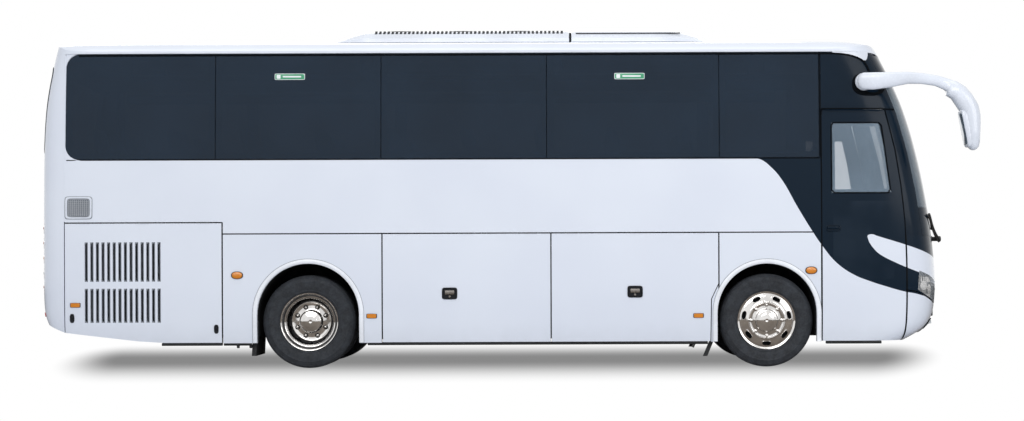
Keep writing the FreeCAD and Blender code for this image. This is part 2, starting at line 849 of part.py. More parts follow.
def knuckle():
    """The right stub axle: two lugs round the beam's eye, a spindle and a steering arm."""
    y = -front_track_half
    x = front_axle_x
    top = axle_z + eye_half + 2
    low = axle_z - eye_half - 2
    pin = post(x, y, pin_radius, low - 40, top + 40)
    upper = fuse(post(x, y, 44, top, top + 32), box(x - 44, x + 44, y, y - 62, top, top + 32))
    lower = fuse(post(x, y, 44, low - 32, low), box(x - 44, x + 44, y, y - 62, low - 32, low))
    web = box(x - 44, x + 44, y - 52, y - 62, low - 32, top + 32)
    spindle = axle_cylinder(x, axle_z, spindle_radius, y - 61, y - 145)
    arm_points = [(x, y - 36), (x - arm_back - 20, y - 20), (x - arm_back - 20, y + 20),
                  (x, y + 36)]
    arm = plan_prism(arm_points, low - 32, low - 8)
    eye = post(x - arm_back, y, eye_pin_radius, rod_z - 22, low - 8)
    return fuse(pin, upper, lower, web, spindle, arm, eye)


def tie_rod():
    half = front_track_half
    x = front_axle_x - arm_back
    rod = axle_cylinder(x, rod_z, 16, -half + 24, half - 24)
    top = axle_z - eye_half - 2 - 32 - 2
    ends = [post(x, side * half, 26, rod_z - 20, min(rod_z + 20, top)) for side in (-1, 1)]
    bores = [post(x, side * half, eye_pin_radius + seat_gap, rod_z - 60, rod_z + 60)
             for side in (-1, 1)]
    return cut(fuse(rod, *ends), *bores)


def rear_axle():
    inner_face = twin_outer_half - twin_spacing - tyre_width / 2
    mid = twin_outer_half - twin_spacing / 2
    tube = axle_cylinder(rear_axle_x, axle_z, 82, -inner_face + 30, inner_face - 30)
    spindle = axle_cylinder(rear_axle_x, axle_z, rear_spindle_radius, -mid - 100, mid + 100)
    bowl = Part.makeSphere(195, Vector(rear_axle_x, 0, axle_z))
    pads = [box(rear_axle_x - 80, rear_axle_x + 80, side * 330, side * 450,
                axle_z + 60, axle_z + 94) for side in (-1, 1)]
    return fuse(tube, spindle, bowl, *pads)


spring_y = 390


def air_springs():
    shapes = []
    for x, seat_z in ((front_axle_x, axle_z + 64), (rear_axle_x, axle_z + 94)):
        for side in (-1, 1):
            shapes.append(post(x, side * spring_y, 70, seat_z, rail_bottom))
    return shapes


def engine_block():
    top = floor_height - floor_thickness - 120
    return box(rear_end + 330, rear_axle_x - 800, -rail_inner + 2, rail_inner - 2,
               rail_bottom - 150, top)


def engine_mounts():
    return [box(x - 40, x + 40, side * (rail_inner - 3), side * (rail_inner - 0.3),
                rail_bottom + 40, rail_top - 40)
            for x in (rear_end + 600, rear_axle_x - 1000) for side in (-1, 1)]


def mudflaps():
    """One flap behind each wheel, on the rear wall of its housing."""
    front_x = front_axle_x - front_arch_radius - plate - seat_gap
    rear_x = rear_axle_x - rear_arch_radius - plate - seat_gap
    shapes = []
    for x, low, lean, y0 in ((front_x, 112, 90, 900), (rear_x, 128, 10, 590)):
        outline = [(x, 440), (x, 330), (x - lean, low), (x - lean - 12, low), (x - 12, 330),
                   (x - 12, 440)]
        shapes.append(side_prism(outline, -inner_half + 28, -y0))
    return shapes


# Cabin
seat_pitch = 760
seat_width = 910
seat_outer_y = 1150
seat_profile = [(0, 0), (60, 0), (60, 300), (440, 300), (440, 0), (500, 0), (500, 310),
                (520, 330), (520, 430), (480, 455), (100, 430), (-60, 1130), (-110, 1180),
                (-170, 1150), (-40, 350), (0, 320)]


def seat_at(x, floor_z, y0, y1):
    points = [(x + px, floor_z + pz + seat_gap) for px, pz in seat_profile]
    return side_prism(points, y0, y1)


def passenger_seats():
    x = rear_seam_x + 380
    shapes = []
    while x < front_axle_x - 350:
        shapes.append(seat_at(x, floor_height, -seat_outer_y, -seat_outer_y + seat_width))
        x += seat_pitch
    return shapes


rack_height = roof_line - 277


def luggage_rack():
    z = rack_height
    outline = [(-1130, z), (-760, z - 80), (-740, z - 60), (-740, z), (-770, z + 30),
               (-1130, z + 40)]
    rack = end_prism(outline, rear_end + 500, front_axle_x + 300)
    hangers = [box(x, x + 20, -900, -860, z, roof_height) for x in
               (rear_end + 900, rear_axle_x + 500, rear_axle_x + 2600, front_axle_x)]
    return fuse(rack, *hangers).common(cabin_space)


driver_y = -560


def driver_seat():
    return seat_at(front_axle_x + 560, cab_floor_height, driver_y - 240, driver_y + 240)


def dashboard():
    block = box(front_axle_x + 1400, front_axle_x + 1900, -1150, 1150,
                cab_floor_height + seat_gap, 1330)
    top = box(front_axle_x + 1330, front_axle_x + 1900, -1050, -100, 1180, 1400)
    door_side = box(front_axle_x + 1000, front_axle_x + 1500, stair_side_y, 1300, 0, 1250)
    whole = fuse(block, top).common(envelope(wall + 20))
    return cut(whole, door_side, steering_column(seat_gap))


wheel_centre = Vector(front_axle_x + 1295, driver_y, 1640)
wheel_tilt = 28


def column_axis():
    return Vector(-math.sin(math.radians(wheel_tilt)), 0, math.cos(math.radians(wheel_tilt)))


def steering_column(gap):
    axis = column_axis()
    return Part.makeCylinder(32 + gap, 400 + gap, wheel_centre - axis * (430 + gap), axis)


def steering_wheel():
    centre = wheel_centre
    tilt = column_axis()
    ring = Part.makeTorus(225, 16, centre, tilt)
    hub = Part.makeCylinder(60, 30, centre - tilt * 45, tilt)
    spokes = []
    for angle in (0, 120, 240):
        turn = FreeCAD.Rotation(tilt, angle)
        reach = turn.multVec(Vector(tilt.z, 0, -tilt.x))
        spokes.append(Part.makeCylinder(13, 222, centre - tilt * 12, reach))
    return fuse(ring, hub, steering_column(0), *spokes)


# Roof unit
pod_rear = rear_axle_x + 242
pod_front = front_axle_x - 585
pod_seam = rear_axle_x + 2694
pod_height = roof_height + 134
pod_half = 720


def pod_body():
    outline = [(pod_rear, roof_height - 60), (pod_rear, roof_height + 12),
               (pod_rear + 100, roof_height + 62), (pod_rear + 284, pod_height - 18),
               (pod_rear + 420, pod_height), (pod_front - 300, pod_height),
               (pod_front - 168, pod_height - 16), (pod_front - 60, roof_height + 66),
               (pod_front, roof_height + 12), (pod_front, roof_height - 60)]
    across = [(-pod_half, roof_height - 90), (-pod_half, roof_height + 5),
              (-pod_half + 70, roof_height + 88), (-pod_half + 190, pod_height - 8),
              (-pod_half + 330, pod_height), (pod_half - 330, pod_height),
              (pod_half - 190, pod_height - 8), (pod_half - 70, roof_height + 88),
              (pod_half, roof_height + 5), (pod_half, roof_height - 90)]
    block = side_prism(outline, -pod_half, pod_half)
    return block.common(end_prism(across, pod_rear - 10, pod_front + 10)).cut(outer)


def roof_unit():
    """Two covers, which meet at a slanted seam."""
    whole = pod_body()
    cutter = side_prism([(pod_seam - 16, roof_height - 100), (pod_seam + 4, roof_height - 100),
                         (pod_seam + 24, pod_height + 20), (pod_seam + 4, pod_height + 20)],
                        -pod_half - 10, pod_half + 10)
    return whole.cut(cutter).Solids


# Mirrors
mirror_y = -1290
arm_outline = [(896, 2925), (905, 2975), (945, 3012), (1239, 3014), (1445, 3014), (1727, 2978),
               (1923, 2924), (2071, 2825), (2140, 2700), (2060, 2660), (1942, 2699),
               (1830, 2793), (1727, 2876), (1434, 2896), (1239, 2853), (1023, 2829),
               (945, 2838), (905, 2875)]
head_outline = [(1942, 2699), (2071, 2790), (2150, 2690), (2183, 2522), (2178, 2307),
                (2150, 2235), (2085, 2208), (2036, 2267), (1983, 2600)]


# The left one hangs on a short arm, above the door
short_arm_outline = [(896, 2925), (905, 2975), (945, 3012), (1300, 3014), (1480, 2990),
                     (1545, 2940), (1545, 2880), (1380, 2880), (1239, 2853), (1023, 2829),
                     (945, 2838), (905, 2875)]
short_head_outline = [(1365, 2900), (1400, 2960), (1500, 2975), (1545, 2930), (1560, 2800),
                      (1545, 2690), (1500, 2662), (1420, 2662), (1375, 2700)]
mirror_foot_x = 985
mirror_foot_z = 2925
mirror_foot_radius = 92
arm_half = 40
head_out = 150
head_in = 90


def mirror(arm_points, head_points):
    arm = side_prism([(front_axle_x + x, z) for x, z in arm_points], mirror_y - arm_half,
                     mirror_y + arm_half)
    head = side_prism([(front_axle_x + x, z) for x, z in head_points], mirror_y - head_out,
                      mirror_y + head_in)
    foot = axle_cylinder(front_axle_x + mirror_foot_x, mirror_foot_z, mirror_foot_radius,
                         mirror_y, -1100)
    return fuse(arm, head, foot).cut(outer)


# Wipers
wiper_stand_off = 16
wiper_rod_radius = 9
wiper_pivot_radius = 20
wiper_base = (-400, screen_bottom - 30)
wiper_tip = (-930, 1570)
wiper_steps = 4


def surface_x(y, z):
    """How far forward the outer surface lies at a point of the front."""
    ray = Part.makeLine(Vector(front_axle_x + 700, y, z), Vector(front_axle_x + 2100, y, z))
    return max(v.X for v in outer.common(ray).Vertexes)


def rod(start, end, radius):
    way = end - start
    return Part.makeCylinder(radius, way.Length, start, way)


def wiper():
    """The right wiper: its pivot low in the middle, its blade tip at the near corner."""
    base_y, base_z = wiper_base
    tip_y, tip_z = wiper_tip
    base = Vector(surface_x(base_y, base_z) + 30, base_y, base_z)
    pivot = Part.makeCylinder(wiper_pivot_radius, 330, Vector(base.x - 325, base_y, base_z),
                              Vector(1, 0, 0))
    points = []
    for i in range(wiper_steps + 1):
        y = base_y + (tip_y - base_y) * i / wiper_steps
        z = base_z + (tip_z - base_z) * i / wiper_steps
        points.append(Vector(surface_x(y, z) + wiper_stand_off, y, z))
    points[0] = base
    pieces = [pivot.cut(outer)]
    for start, end in zip(points, points[1:]):
        pieces.append(rod(start, end, wiper_rod_radius))
        pieces.append(Part.makeSphere(wiper_rod_radius, end))
    return fuse(*pieces)


# Passenger door mechanism
post_x = front_axle_x + 1295
post_y = 1090
arm_reach = 390
post_radius = 20
leaf_eye_radius = 22
leaf_pin_radius = 8
door_arm_half = 12
post_low = skirt_height + 60 + floor_thickness + seat_gap
arm_heights = [700, 1640]


def door_arm():
    """The turning post beside the stairwell, with two arms to the leaf."""
    shapes = [post(post_x, post_y, post_radius, post_low, arm_heights[-1] + 60)]
    for z in arm_heights:
        low = z - door_arm_half
        high = z + door_arm_half
        shapes.append(box(post_x - arm_reach, post_x, post_y - 15, post_y + 15, low, high))
        shapes.append(post(post_x - arm_reach, post_y, leaf_eye_radius, low, high))
    bores = [post(post_x - arm_reach, post_y, leaf_pin_radius + seat_gap, z - 30, z + 30)
             for z in arm_heights]
    return cut(fuse(*shapes), *bores)


def leaf_brackets():
    shapes = []
    x = post_x - arm_reach
    for z in arm_heights:
        shapes.append(post(x, post_y, leaf_pin_radius, z - 30, z + 30))
        for z0 in (z - 34, z + 18):
            shapes.append(box(x - 25, x + 25, post_y - 20, inner_half + 12, z0, z0 + 16))
    return shapes


def main():
    os.makedirs(parts_folder, exist_ok=True)
    wall_right = side_wall()
    export("side_wall_right", wall_right)
    export("side_wall_left", mirrored(wall_right))
    panes = side_panes()
    export("side_windows", *panes, *[mirrored(p) for p in panes])
    trims = arch_trims()
    export("wheel_arch_trims", *trims, *[mirrored(t) for t in trims])
    export("roof_shell", roof_shell())
    export("windscreen", windscreen())
    export("gloss_panels", *both(gloss_panels()))
    export("front_panel", front_panel())
    export("front_bumper", front_bumper())
    export("headlamps", *both(headlamp()))
    export("rear_panel", rear_panel())
    export("rear_window", rear_window())
    export("tail_lamps", *both(tail_lamp()))
    export("engine_hatch", engine_hatch())
    flap = engine_flap()
    export("engine_flap_right", flap)
    export("engine_flap_left", mirrored(flap))
    for number, place in ((0, "rear"), (1, "front")):
        door = luggage_door(number)
        export("luggage_door_right_" + place, door)
        export("luggage_door_left_" + place, mirrored(door))
    door = front_door()
    pane = front_door_glass()
    export("driver_door", driver_door())
    export("driver_door_glass", pane)
    export("passenger_door", fuse(mirrored(door), *leaf_brackets()))
    export("passenger_door_glass", mirrored(pane))
    export("passenger_door_arm", door_arm())
    export("floor_deck", floor_deck())
    export("luggage_bays", *both(luggage_bay()))
    housings = [wheel_housing(front_axle_x, front_arch_radius, front_housing_y),
                wheel_housing(rear_axle_x, rear_arch_radius, rear_housing_y)]
    export("wheel_housings", *housings, *[mirrored(h) for h in housings])
    export("chassis_frame", chassis_frame())
    export("engine_block", fuse(engine_block(), *engine_mounts()))
    export("front_axle", front_axle())
    export("rear_axle", rear_axle())
    export("air_springs", *air_springs())
    flaps = mudflaps()
    export("mudflaps", *flaps, *[mirrored(f) for f in flaps])
    stub = knuckle()
    export("knuckle_right", stub)
    export("knuckle_left", mirrored(stub))
    export("tie_rod", tie_rod())
    wheel = front_wheel()
    export("wheel_front_right", wheel)
    export("wheel_front_left", mirrored(wheel))
    rubber = tyre(front_axle_x, -front_track_half)
    export("tyre_front_right", rubber)
    export("tyre_front_left", mirrored(rubber))
    wheel = rear_wheel()
    export("wheel_rear_right", wheel)
    export("wheel_rear_left", mirrored(wheel))
    twins = [tyre(rear_axle_x, -twin_outer_half),
             tyre(rear_axle_x, -twin_outer_half + twin_spacing)]
    export("tyres_rear_right", *twins)
    export("tyres_rear_left", *[mirrored(t) for t in twins])
    seats = passenger_seats()
    export("passenger_seats_right", *seats)
    export("passenger_seats_left", *[mirrored(s) for s in seats])
    export("luggage_racks", *both(luggage_rack()))
    export("driver_seat", driver_seat())
    export("dashboard", dashboard())
    export("steering_wheel", steering_wheel())
    export("roof_ac_unit", *roof_unit())
    export("mirrors", mirror(arm_outline, head_outline),
           mirrored(mirror(short_arm_outline, short_head_outline)))
    export("wipers", *both(wiper()))


main()
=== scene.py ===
import json
import math

import bmesh
import bpy
from mathutils import Matrix, Vector
from mathutils.bvhtree import BVHTree


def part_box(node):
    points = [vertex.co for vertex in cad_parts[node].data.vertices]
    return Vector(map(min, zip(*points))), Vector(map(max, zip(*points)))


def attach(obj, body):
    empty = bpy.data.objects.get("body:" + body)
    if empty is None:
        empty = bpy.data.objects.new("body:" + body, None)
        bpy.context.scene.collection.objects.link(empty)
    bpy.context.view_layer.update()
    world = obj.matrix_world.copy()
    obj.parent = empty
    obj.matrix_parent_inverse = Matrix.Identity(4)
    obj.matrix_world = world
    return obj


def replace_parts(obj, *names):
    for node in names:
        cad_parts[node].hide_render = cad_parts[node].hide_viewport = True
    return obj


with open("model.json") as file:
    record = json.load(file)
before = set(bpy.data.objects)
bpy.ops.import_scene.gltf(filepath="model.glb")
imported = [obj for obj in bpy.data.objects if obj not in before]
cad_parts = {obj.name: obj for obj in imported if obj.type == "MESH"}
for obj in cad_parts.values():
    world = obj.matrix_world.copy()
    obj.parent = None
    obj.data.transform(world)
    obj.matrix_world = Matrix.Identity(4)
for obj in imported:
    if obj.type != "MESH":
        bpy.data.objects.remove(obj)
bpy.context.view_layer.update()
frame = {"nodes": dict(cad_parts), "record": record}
nodes = frame["nodes"]
print("frame loaded:", len(nodes), "nodes")


# colours and shader maths

def rgb(red, green, blue, alpha=1.0):
    # a colour as it is seen, 0 to 255, made linear for the shader
    out = []
    for part in (red, green, blue):
        c = part / 255
        out.append(c / 12.92 if c <= 0.04045 else ((c + 0.055) / 1.055) ** 2.4)
    return (*out, alpha)


def toned(colour, share, lift=0.0):
    return tuple(min(1.0, c * share + lift) for c in colour[:3]) + (1.0,)


class Reading:
    # one output of a node, which can be written in a sum
    def __init__(self, finish, socket):
        self.finish = finish
        self.socket = socket

    def __add__(self, other):
        return self.finish.sum("ADD", self, other)

    def __sub__(self, other):
        return self.finish.sum("SUBTRACT", self, other)

    def __rsub__(self, other):
        return self.finish.sum("SUBTRACT", other, self)

    def __mul__(self, other):
        return self.finish.sum("MULTIPLY", self, other)

    def __truediv__(self, other):
        return self.finish.sum("DIVIDE", self, other)

    def __gt__(self, other):
        return self.finish.sum("GREATER_THAN", self, other)

    def __lt__(self, other):
        return self.finish.sum("LESS_THAN", self, other)

    def __abs__(self):
        return self.finish.sum("ABSOLUTE", self)

    __radd__, __rmul__ = __add__, __mul__


class Finish:
    # a material and the few ways in which this file builds one
    def __init__(self, name, **shaderValues):
        self.material = bpy.data.materials.new(name)
        self.material.use_nodes = True
        self.tree = self.material.node_tree
        self.shader = self.tree.nodes["Principled BSDF"]
        for key, value in shaderValues.items():
            self.set(key, value)

    def feed(self, socket, value):
        if isinstance(value, Reading):
            self.tree.links.new(value.socket, socket)
        else:
            socket.default_value = value

    def set(self, key, value):
        # baseColor becomes Base Color, and so on
        words = "".join(" " + c if c.isupper() else c for c in key).title()
        self.feed(self.shader.inputs[words.replace("Ior", "IOR")], value)

    def node(self, kind, settings=None, inputs=None, output=0):
        made = self.tree.nodes.new("ShaderNode" + kind)
        for key, value in (settings or {}).items():
            setattr(made, key, value)
        for key, value in (inputs or {}).items():
            self.feed(made.inputs[key], value)
        return Reading(self, made.outputs[output])

    def sum(self, operation, first, second=0.0):
        return self.node("Math", {"operation": operation}, {0: first, 1: second})

    def point(self):
        return self.node("TexCoord", output=3)

    def place(self):
        # x, y and z of the surface point, in the coach's own frame
        made = self.tree.nodes.new("ShaderNodeSeparateXYZ")
        self.tree.links.new(self.point().socket, made.inputs[0])
        return [Reading(self, out) for out in made.outputs]

    def noise(self, scale, detail=3.0):
        return self.node("TexNoise", None, {"Vector": self.point(), "Scale": scale,
                                            "Detail": detail, "Roughness": 0.5})

    def ramp(self, value, low, high, first=0.0, second=1.0):
        return self.node("MapRange", {"interpolation_type": "SMOOTHSTEP"},
                         {0: value, 1: low, 2: high, 3: first, 4: second})

    def cloud(self, scale, detail=3.0, low=0.3, high=0.7, first=0.0, second=1.0):
        return self.ramp(self.noise(scale, detail), low, high, first, second)

    def mix(self, mask, first, second):
        return self.node("Mix", {"data_type": "RGBA"}, {0: mask, 6: first, 7: second}, output=2)

    def bump(self, height, strength, distance):
        self.set("normal", self.node("Bump", None, {"Strength": strength, "Distance": distance,
                                                    "Height": height}))

    def outside(self, value, middle, reach):
        # how far value lies outside a span, 0 within it
        return self.sum("MAXIMUM", abs(value - middle) - reach, 0.0)

    def curve(self, value, points):
        # a smooth line through the points: value runs along their first numbers
        x0, x1 = points[0][0], points[-1][0]
        heights = [z for _, z in points]
        z0, z1 = min(heights), max(heights)
        made = self.tree.nodes.new("ShaderNodeFloatCurve")
        line = made.mapping.curves[0]
        for place, (x, z) in enumerate(points):
            spot = ((x - x0) / (x1 - x0), (z - z0) / (z1 - z0))
            if place < 2:
                line.points[place].location = spot
            else:
                line.points.new(*spot)
        made.mapping.update()
        self.feed(made.inputs["Value"], (value - x0) / (x1 - x0))
        return Reading(self, made.outputs[0]) * (z1 - z0) + z0


# finishes

paint = {
    "white": rgb(219, 225, 236), "shade": rgb(215, 221, 233), "black": rgb(12, 28, 42),
    "seam": rgb(10, 14, 18), "skirtDarker": rgb(198, 203, 212),
    "edge": 0.002,                  # half of the soft edge between two paints
    # lower edge of the black sweep, from its tail to the nose: x and z in metres
    "sweep": [(2.45, 2.16), (2.551, 2.141), (2.61, 2.121), (2.708, 2.042), (2.786, 1.954),
              (2.981, 1.62), (3.118, 1.395), (3.217, 1.248), (3.373, 1.062), (3.553, 0.94),
              (3.71, 0.877), (3.866, 0.826), (4.07, 0.769), (4.194, 0.746), (4.338, 0.698),
              (4.445, 0.635), (4.56, 0.6)],
    "sweepRear": 2.5, "finTip": 3.684,
    "finUpper": [(3.684, 1.34), (3.7, 1.354), (3.728, 1.358), (3.78, 1.342), (3.844, 1.322),
                 (3.967, 1.285), (4.082, 1.249), (4.23, 1.2), (4.35, 1.155), (4.437, 1.12),
                 (4.56, 1.07)],
    "finLower": [(3.684, 1.33), (3.692, 1.305), (3.704, 1.274), (3.748, 1.212), (3.792, 1.167),
                 (3.844, 1.132), (3.968, 1.07), (4.093, 1.016), (4.215, 0.97), (4.35, 0.92),
                 (4.45, 0.854), (4.56, 0.8)],
    "bandBottom": 2.1465, "roofLine": 3.2365, "doorRear": 3.2155, "wallRear": -4.532,
    "cornerRadius": 0.147,
    # the dark pane low in each door: rear and front end, foot and top, and the lighter colour of
    # the reflection painted on it
    "lowPane": (3.332, 3.96, 0.9, 1.703), "lowPaneRound": 0.03, "lowPaneReflection": rgb(24, 37, 50),
    # hinge lines of the flaps: height, rear end and front end
    "hingeLines": [(1.5, -4.534, -2.927), (1.383, -2.927, 3.13)], "hingeHalf": 0.0066,
    # upright seams, edged darker on both sides: x, half width, foot and top
    "seams": [(-2.922, 0.0072, 0.26, 1.5), (-1.286, 0.0068, 0.26, 1.383),
              (0.443, 0.0068, 0.26, 1.383), (2.162, 0.0068, 0.5, 1.383),
              (3.216, 0.0088, 0.26, 1.3)],
    # the seam before the door, by its height
    "noseSeam": [(0.27, 4.058), (0.38, 4.078), (0.65, 4.089), (1.002, 4.089), (1.354, 4.078)],
    "noseSeamHalf": 0.0085,
}


def coachPaint():
    finish = Finish("coach_paint", specularIorLevel=0.13, coatRoughness=0.06)
    x, y, z = finish.place()
    edge = paint["edge"]
    sweep = finish.ramp(z - finish.curve(x, paint["sweep"]), -edge, edge)
    sweep = sweep * (x > paint["sweepRear"]) * (z < paint["roofLine"])
    underFin = finish.ramp(finish.curve(x, paint["finUpper"]) - z, -edge, edge)
    overFin = finish.ramp(z - finish.curve(x, paint["finLower"]), -edge, edge)
    fin = underFin * overFin * (x > paint["finTip"])
    # the bed of the side glass, its rear corners round
    radius = paint["cornerRadius"]
    middle = (paint["bandBottom"] + paint["roofLine"]) / 2
    reach = (paint["roofLine"] - paint["bandBottom"]) / 2 - radius
    aside = finish.sum("MAXIMUM", paint["wallRear"] + radius - x, 0.0)
    above = finish.outside(z, middle, reach)
    bed = finish.ramp(aside * aside + above * above, radius ** 2 - 0.0003, radius ** 2, 1.0, 0.0)
    bed = bed * (x < paint["doorRear"]) * (abs(y) > 1.0)
    black = finish.sum("MAXIMUM", sweep * (1 - fin), bed)
    white = finish.mix(finish.cloud(0.9, 2.0), paint["white"], paint["shade"])
    # the side goes darker towards its foot, the top of the darker band broken up by noise
    lowerDarkening = finish.ramp(z + finish.noise(7.0, 4.0) * 0.25, 0.28, 0.62, 0.35, 0.0)
    white = finish.mix(lowerDarkening * (abs(y) > 1.1), white, paint["skirtDarker"])
    rear, front, foot, top = paint["lowPane"]
    corner = paint["lowPaneRound"]
    aside = finish.outside(x, (rear + front) / 2, (front - rear) / 2 - corner)
    above = finish.outside(z, (foot + top) / 2, (top - foot) / 2 - corner)
    pane = finish.ramp(aside * aside + above * above, 0.0007, 0.0009, 1.0, 0.0)
    # painted reflection: the dark pane goes lighter in soft clouds
    paneReflection = finish.cloud(2.2, 2.0, 0.35, 0.65)
    dark = finish.mix(pane * paneReflection * (abs(y) > 1.0), paint["black"], paint["lowPaneReflection"])
    colour = finish.mix(black, white, dark)
    lines = [(abs(z - height) < paint["hingeHalf"]) * (x > rear) * (x < front) * (abs(y) > 1.2)
             for height, rear, front in paint["hingeLines"]]
    lines += [(abs(x - place) < half) * (z > foot) * (z < top) * (abs(y) > 1.1)
              for place, half, foot, top in paint["seams"]]
    nose = abs(x - finish.curve(z, paint["noseSeam"])) < paint["noseSeamHalf"]
    lines.append(nose * (z < paint["noseSeam"][-1][0]) * (abs(y) > 0.9))
    for line in lines:
        colour = finish.mix(line, colour, paint["seam"])
    finish.set("baseColor", colour)
    finish.set("coatWeight", (1 - black) * 0.5)
    finish.set("roughness", finish.cloud(40.0, 4.0, 0.3, 0.7, 0.16, 0.24))
    finish.bump(finish.noise(320.0, 2.0), 0.04, 0.0006)
    return finish.material


def plainPaint(name, colour, roughness=0.25, coat=0.5, grain=200.0, depth=0.05, shine=0.4):
    finish = Finish(name, coatWeight=coat, coatRoughness=0.08, specularIorLevel=shine)
    finish.set("baseColor", finish.mix(finish.cloud(2.5), toned(colour, 0.88), colour))
    finish.set("roughness", finish.cloud(grain * 0.2, 4.0, 0.3, 0.7, roughness * 0.85,
                                         roughness * 1.2))
    finish.bump(finish.noise(grain), depth, 0.0008)
    return finish.material


def glass(name, colour, alpha):
    finish = Finish(name, roughness=0.03, specularIorLevel=0.25)
    finish.set("baseColor", finish.mix(finish.cloud(1.3, 3.0, 0.25, 0.75), toned(colour, 0.8),
                                       colour))
    finish.set("alpha", finish.cloud(2.0, 2.0, 0.3, 0.7, alpha * 0.97, alpha))
    finish.material.surface_render_method = "DITHERED"
    return finish.material


def metal(name, colour, roughness, scale=60.0, depth=0.05):
    finish = Finish(name, metallic=1.0)
    finish.set("baseColor", finish.mix(finish.cloud(9.0, 4.0), toned(colour, 0.82), colour))
    finish.set("roughness", finish.cloud(scale, 5.0, 0.3, 0.7, roughness * 0.7, roughness * 1.4))
    finish.bump(finish.noise(scale * 4, 2.0), depth, 0.0005)
    return finish.material


def rubber(name, colour, roughness=0.75, grain=260.0, depth=0.25):
    finish = Finish(name)
    finish.set("baseColor", finish.mix(finish.cloud(14.0, 5.0, 0.3, 0.75), colour,
                                       toned(colour, 1.7, 0.004)))
    finish.set("roughness", finish.cloud(60.0, 3.0, 0.3, 0.7, roughness * 0.9,
                                         min(1.0, roughness * 1.15)))
    finish.bump(finish.noise(grain), depth, 0.0006)
    return finish.material


def weave(name, colour, accent):
    finish = Finish(name, roughness=0.9, sheenWeight=0.4)
    x, y, z = finish.place()
    warp = finish.sum("SINE", (x + z) * 2400.0)
    weft = finish.sum("SINE", y * 2400.0)
    finish.set("baseColor", finish.mix(finish.cloud(55.0, 2.0, 0.55, 0.62), colour, accent))
    finish.bump(warp * weft, 0.35, 0.0006)
    return finish.material


def lens(name, colour, alpha=1.0):
    # moulded lamp plastic with fine upright flutes
    finish = Finish(name, roughness=0.08, coatWeight=0.8, coatRoughness=0.03, alpha=alpha)
    x, y, z = finish.place()
    flutes = finish.sum("SINE", (x + y) * 900.0)
    finish.set("baseColor", finish.mix(finish.ramp(flutes, -1.0, 1.0), toned(colour, 0.75),
                                       colour))
    finish.bump(flutes, 0.3, 0.0008)
    return finish.material


screen = {
    # heights over which the dark print begins, over the sign and over the dashboard
    "sign": (3.0, 3.016), "dashboard": (1.632, 1.648),
    "film": (rgb(104, 118, 130), rgb(124, 138, 150)), "alpha": (0.52, 0.985),
}


def screenFinish():
    # laminated glass, dark at its top and its foot
    finish = Finish("screen_glass", roughness=0.03, specularIorLevel=0.1)
    x, y, z = finish.place()
    band = finish.sum("MAXIMUM", finish.ramp(z, *screen["sign"]),
                      finish.ramp(z, *screen["dashboard"], 1, 0))
    film = finish.mix(finish.cloud(1.3, 3.0, 0.25, 0.75), *screen["film"])
    finish.set("baseColor", finish.mix(band, film, paint["black"]))
    finish.set("alpha", finish.ramp(band, 0.0, 1.0, *screen["alpha"]))
    finish.material.surface_render_method = "DITHERED"
    return finish.material


coachWhite = coachPaint()
partWhite = plainPaint("part_white", paint["white"])
# a lighter white for the arch lips: painted light, standing for the light the raised lips catch
litArchWhite = plainPaint("arch_white_lit", rgb(236, 240, 247))
# grey for the vent's edging, and painted shade: the shadow line round the arch lips and the shade
# inside the louvre slots
seamAndShadeGrey = plainPaint("seam_and_shade_grey", rgb(120, 126, 134), 0.5, 0.0)
meshGrey = plainPaint("mesh_grey", rgb(172, 176, 182), 0.5, 0.0)
plateWhite = plainPaint("plate_white", rgb(226, 228, 224), 0.35, 0.2)
plateYellow = plainPaint("plate_yellow", rgb(226, 190, 60), 0.35, 0.2)
glossBlack = plainPaint("gloss_black", paint["black"], 0.16, 0.03, 90.0, 0.02, 0.12)
satinBlack = plainPaint("satin_black", rgb(20, 24, 30), 0.5, 0.0, 300.0, 0.15, 0.25)
chassisBlack = plainPaint("chassis_black", rgb(22, 24, 27), 0.6, 0.0, 120.0, 0.3)
archBlack = plainPaint("arch_black", rgb(8, 14, 20), 0.9, 0.0, 60.0, 0.3)
tintedGlass = glass("tinted_glass", rgb(26, 43, 60), 0.84)
clearGlass = glass("clear_glass", rgb(164, 186, 206), 0.26)
screenGlass = screenFinish()
chrome = metal("chrome", rgb(232, 230, 228), 0.08, 50.0, 0.02)
steel = metal("steel", rgb(150, 146, 142), 0.32)
mirrorGlass = metal("mirror_glass", rgb(190, 198, 206), 0.04, 30.0, 0.01)
castMetal = metal("cast_metal", rgb(84, 84, 86), 0.5, 90.0, 0.3)
tyreRubber = rubber("tyre_rubber", rgb(30, 34, 40))
sealBlack = plainPaint("seal_black", rgb(8, 12, 17), 0.85, 0.0, 400.0, 0.1, 0.08)
trimRubber = rubber("trim_rubber", rgb(14, 17, 20), 0.6, 400.0, 0.1)
cabinPlastic = plainPaint("cabin_plastic", rgb(92, 96, 102), 0.6, 0.0, 500.0, 0.3)
cabinDark = plainPaint("cabin_dark", rgb(40, 43, 48), 0.65, 0.0, 500.0, 0.3)
seatCloth = weave("seat_cloth", rgb(46, 54, 78), rgb(92, 84, 60))
amberLens = lens("amber_lens", rgb(226, 138, 42))
redLens = lens("red_lens", rgb(176, 18, 16))
clearLens = lens("clear_lens", rgb(225, 232, 238), 0.22)
brightLens = lens("bright_lens", rgb(222, 228, 232))
labelGreen = plainPaint("label_green", rgb(60, 150, 110), 0.4, 0.2)
labelWhite = plainPaint("label_white", rgb(236, 240, 242), 0.4, 0.2)

